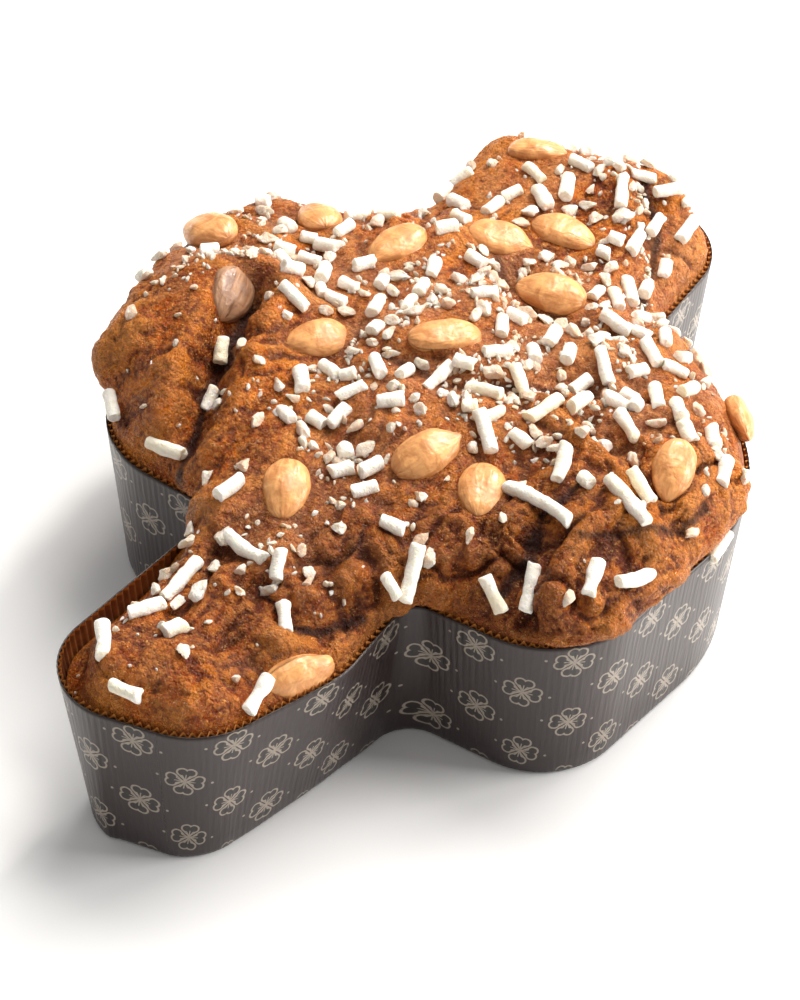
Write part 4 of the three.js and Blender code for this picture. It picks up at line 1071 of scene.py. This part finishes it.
def build_sugar(pieces, crust):
    """Makes the rods, pressed into the finished crust, and gives the large grains to be joined to the fine ones."""
    tree = BVHTree.FromPolygons([v.co for v in crust.data.vertices], [p.vertices for p in crust.data.polygons])

    def settled(turn, place, reach):
        """Moves a place along its own up direction until it lies on the crust."""
        out, gaps = Vector(turn[:, 2]), []
        for s in (-0.7, 0, 0.7):
            start = Vector((place + turn[:, 0] * s * reach + turn[:, 2] * 9 + SHIFT) / 1000)
            hit = tree.ray_cast(start, -out, 0.02)
            if hit[0] is not None:
                gaps.append(9 - hit[3] * 1000)
        return place + turn[:, 2] * (np.mean(gaps) if gaps else 0)

    rods, grains, feet = [], [], []
    random = seeded_random(77)
    for kind, x, y, heading, length, bend, radius, _, grain_seed in pieces:
        if kind == "rod":
            turn, place = crust_frame(x, y, heading, 0, length * 0.4)
            place = settled(turn, place, length / 2)
            local, faces, low = rod_points(length, radius * 0.95, bend, grain_seed + x * 7)
            rods.append((local @ turn.T + place + turn[:, 2] * radius * 0.5, faces))
            feet.append(low)
        else:
            turn, place = crust_frame(x, y, heading, 0, 2)
            place = settled(turn, place, 1)
            local, faces = grain_shape(random, LARGE_GRAIN_LEVEL)
            grains.append((local @ turn.T * length * 1.05 + place + turn[:, 2] * length * 0.22, faces))
    points, faces = joined(rods)
    made = to_object("sugar_rods", points, faces, sugar_material(), floats={"foot": np.concatenate(feet)})
    made.data.set_sharp_from_angle(angle=math.radians(50))
    return grains


def grain_shapes(random):
    """A few crystals to pick from, in a collection of their own."""
    shapes = bpy.data.collections.new("grain_shapes")
    for k in range(GRAIN_SHAPES):
        points, faces = grain_shape(random, FINE_GRAIN_LEVEL)
        mesh = bpy.data.meshes.new(f"grain_shape_{k}")
        mesh.from_pydata(points.tolist(), [], faces)
        shapes.objects.link(bpy.data.objects.new(mesh.name, mesh))
    return shapes


def strewing_tree(shapes, material):
    """Nodes that strew crystals over a mesh by its point value named grains."""
    tree = bpy.data.node_groups.new("strew_grains", "GeometryNodeTree")
    for label, kind, direction in (
        ("Geometry", "NodeSocketGeometry", "INPUT"), ("Per square metre", "NodeSocketFloat", "INPUT"),
        ("Free space", "NodeSocketFloat", "INPUT"), ("Smallest", "NodeSocketFloat", "INPUT"),
        ("Largest", "NodeSocketFloat", "INPUT"), ("Seed", "NodeSocketInt", "INPUT"),
        ("Geometry", "NodeSocketGeometry", "OUTPUT"),
    ):
        tree.interface.new_socket(label, in_out=direction, socket_type=kind)
    new, link = tree.nodes.new, tree.links.new
    given, result = new("NodeGroupInput"), new("NodeGroupOutput")
    share, strew = new("GeometryNodeInputNamedAttribute"), new("GeometryNodeDistributePointsOnFaces")
    share.inputs[0].default_value = "grains"
    strew.distribute_method = "POISSON"
    link(given.outputs["Geometry"], strew.inputs["Mesh"])
    link(given.outputs["Free space"], strew.inputs["Distance Min"])
    link(given.outputs["Per square metre"], strew.inputs["Density Max"])
    link(share.outputs[0], strew.inputs["Density Factor"])
    link(given.outputs["Seed"], strew.inputs["Seed"])
    source = new("GeometryNodeCollectionInfo")
    source.inputs["Collection"].default_value = shapes
    source.inputs["Separate Children"].default_value = True
    place = new("GeometryNodeInstanceOnPoints")
    place.inputs["Pick Instance"].default_value = True
    turn, size, pick, skew = (new("FunctionNodeRandomValue") for _ in range(4))
    turn.data_type, pick.data_type, skew.data_type = "FLOAT_VECTOR", "INT", "FLOAT"
    turn.inputs["Max"].default_value = (FULL_TURN,) * 3
    pick.inputs[4].default_value, pick.inputs[5].default_value = 0, GRAIN_SHAPES - 1
    link(given.outputs["Smallest"], size.inputs[2])
    link(given.outputs["Largest"], size.inputs[3])
    scaled = new("ShaderNodeMath")
    scaled.operation = "MULTIPLY"
    skew.inputs[2].default_value, skew.inputs[3].default_value = 0.62, 1.0
    link(size.outputs[1], scaled.inputs[0])
    link(skew.outputs[1], scaled.inputs[1])
    for node, offset in ((turn, 1), (size, 2), (pick, 3), (skew, 4)):
        node.inputs["Seed"].default_value = 40 + offset
    link(strew.outputs["Points"], place.inputs["Points"])
    link(source.outputs[0], place.inputs["Instance"])
    link(pick.outputs[2], place.inputs["Instance Index"])
    link(turn.outputs[0], place.inputs["Rotation"])
    link(scaled.outputs[0], place.inputs["Scale"])
    solid, painted = new("GeometryNodeRealizeInstances"), new("GeometryNodeSetMaterial")
    painted.inputs["Material"].default_value = material
    link(place.outputs[0], solid.inputs[0])
    link(solid.outputs[0], painted.inputs[0])
    link(painted.outputs[0], result.inputs[0])
    return tree


def scatter_grains(name, crust, large, material):
    """The fine grains: crystals laid over the crust by the share its points carry, and the large ones joined on."""
    settings = STREWN[name]
    shapes = grain_shapes(seeded_random(4711 + settings["Seed"]))
    tree = strewing_tree(shapes, material)
    carrier = bpy.data.objects.new("strewn", crust.data)
    bpy.context.scene.collection.objects.link(carrier)
    modifier = carrier.modifiers.new("strew", "NODES")
    modifier.node_group = tree
    for item in tree.interface.items_tree:
        if item.in_out == "INPUT" and item.name in settings:
            modifier[item.identifier] = settings[item.name]
    mesh = bpy.data.meshes.new_from_object(carrier.evaluated_get(bpy.context.evaluated_depsgraph_get()))
    points = np.empty(len(mesh.vertices) * 3, np.float32)
    mesh.vertices.foreach_get("co", points)
    points = points.reshape(-1, 3).astype(float) * 1000 - SHIFT
    faces = [list(p.vertices) for p in mesh.polygons]
    bpy.data.objects.remove(carrier)
    bpy.data.meshes.remove(mesh)
    for child in list(shapes.objects):
        bpy.data.objects.remove(child)
    bpy.data.collections.remove(shapes)
    points, faces = joined([(points, faces), *large])
    made = to_object(name, points, faces, material)
    made.data.set_sharp_from_angle(angle=math.radians(32))


# ---------------------------------------------------------------- paper case
def build_case():
    """The outer paper: fluted walls with a rounded foot and a floor, a sheet with its own thickness."""
    ribs = round(RIM_LENGTH / RIB)
    stations, run, length = even_outline(ribs * RIB_SAMPLES)
    count = len(stations)
    wave = np.cos(2 * math.pi * ribs * run / length)
    uneven = rolling(np.column_stack([run / 7, np.zeros(count)]), 5) * 0.5 + 1
    rows, heights = [], []

    def row(inset, z, depth):
        offset = inset + RIB_DEPTH * (1 - wave * uneven * depth)
        rows.append(wall_points(stations, offset, z))
        heights.append(z)

    for foot_row in FOOT_ROWS:
        row(*foot_row)
    for z in WALL_LEVELS:
        row(0, z, 1.0)
    outer = len(rows)
    for z in INNER_LEVELS:
        row(PAPER, z, 1.0)
    row(PAPER + FOOT_ROUND, 0.8, 0.6)
    points = np.vstack(rows)
    starts = [r * count for r in range(len(rows))]
    faces = bands(starts, count).tolist()
    faces.append(list(range(count))[::-1])
    faces.append(list(range(starts[-1], starts[-1] + count)))
    up = np.repeat([z if k < outer else UNPRINTED for k, z in enumerate(heights)], count)
    uv = np.column_stack([np.tile(run, len(rows)), up])
    wall = to_object("case_wall", points, faces, case_material(), uv=uv)
    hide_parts("paper_case")


def build_lining():
    """The fluted brown paper inside the wall, with its wavy edge at the rim."""
    waves = round(RIM_LENGTH / LINING_WAVE)
    stations, run, length = even_outline(waves * LINING_SAMPLES)
    count = len(stations)
    phase = 2 * math.pi * waves * run / length
    rows, edge = [], []
    for z, depth, scallop in LINING_ROWS:
        inset = LINING_INSET + depth + depth * np.cos(phase)
        rows.append(wall_points(stations, inset, z + scallop * (0.5 + 0.5 * np.cos(phase))))
        edge += [smooth(z, 60.4, 62)] * count
    points = np.vstack(rows)
    faces = bands([r * count for r in range(len(rows))], count).tolist()
    to_object("case_lining", points, faces, lining_material(), floats={"edge": edge})


# ---------------------------------------------------------------- room, light and camera
def build_stage():
    size, mesh = FLOOR_HALF, bpy.data.meshes.new("floor")
    mesh.from_pydata([(-size, -size, 0), (size, -size, 0), (size, size, 0), (-size, size, 0)], [], [(0, 1, 2, 3)])
    floor = bpy.data.objects.new("floor", mesh)
    bpy.context.scene.collection.objects.link(floor)
    f = Finish("pale_floor", Roughness=0.6, Specular_IOR_Level=0.2)
    f.drive("Base Color", f.mix(f.noise(3, 2), (0.92, 0.92, 0.92, 1), (0.94, 0.94, 0.94, 1)))
    mesh.materials.append(f.material)
    world = bpy.data.worlds.new("room")
    world.use_nodes = True
    world.node_tree.nodes["Background"].inputs[0].default_value = ROOM_COLOUR
    world.node_tree.nodes["Background"].inputs[1].default_value = ROOM_STRENGTH
    bpy.context.scene.world = world
    for name, (place, side, power, colour) in LAMPS.items():
        light = bpy.data.lights.new(name, "AREA")
        light.size, light.energy, light.color = side, power, colour
        lamp = bpy.data.objects.new(name, light)
        lamp.location = place
        lamp.rotation_euler = (Vector(LAMP_AIM) - lamp.location).to_track_quat("-Z", "Y").to_euler()
        bpy.context.scene.collection.objects.link(lamp)


def build_camera():
    back = unit(np.array(CAMERA_BACK))
    right = unit(np.cross([0, 0, 1], back))
    up = np.cross(back, right)
    turned_right = math.cos(CAMERA_ROLL) * right - math.sin(CAMERA_ROLL) * up
    turned_up = math.sin(CAMERA_ROLL) * right + math.cos(CAMERA_ROLL) * up
    camera = bpy.data.cameras.new("camera")
    camera.sensor_fit, camera.sensor_height, camera.sensor_width = "VERTICAL", SENSOR, SENSOR
    camera.lens = FOCAL_PX / PICTURE_HEIGHT_PX * SENSOR
    camera.clip_start = 0.05
    holder = bpy.data.objects.new("camera", camera)
    turn = Matrix([list(r) for r in np.column_stack([turned_right, turned_up, back])])
    holder.matrix_world = Matrix.Translation(Vector((np.array(CAMERA_PLACE) + SHIFT) / 1000)) @ turn.to_4x4()
    bpy.context.scene.collection.objects.link(holder)
    bpy.context.scene.camera = holder


build_camera()
build_stage()
bpy.context.scene.view_settings.view_transform = "Standard"
sugar = scatter_sugar()
crust = build_crust()
large_grains = build_sugar(sugar, crust)
crystal = grain_material()
scatter_grains("sugar_grains", crust, large_grains, crystal)
scatter_grains("sugar_crumbs", crust, [], crystal)
nut = almond_material()
for index, almond in enumerate(ALMONDS):
    build_almond(index, almond, nut)
build_case()
build_lining()
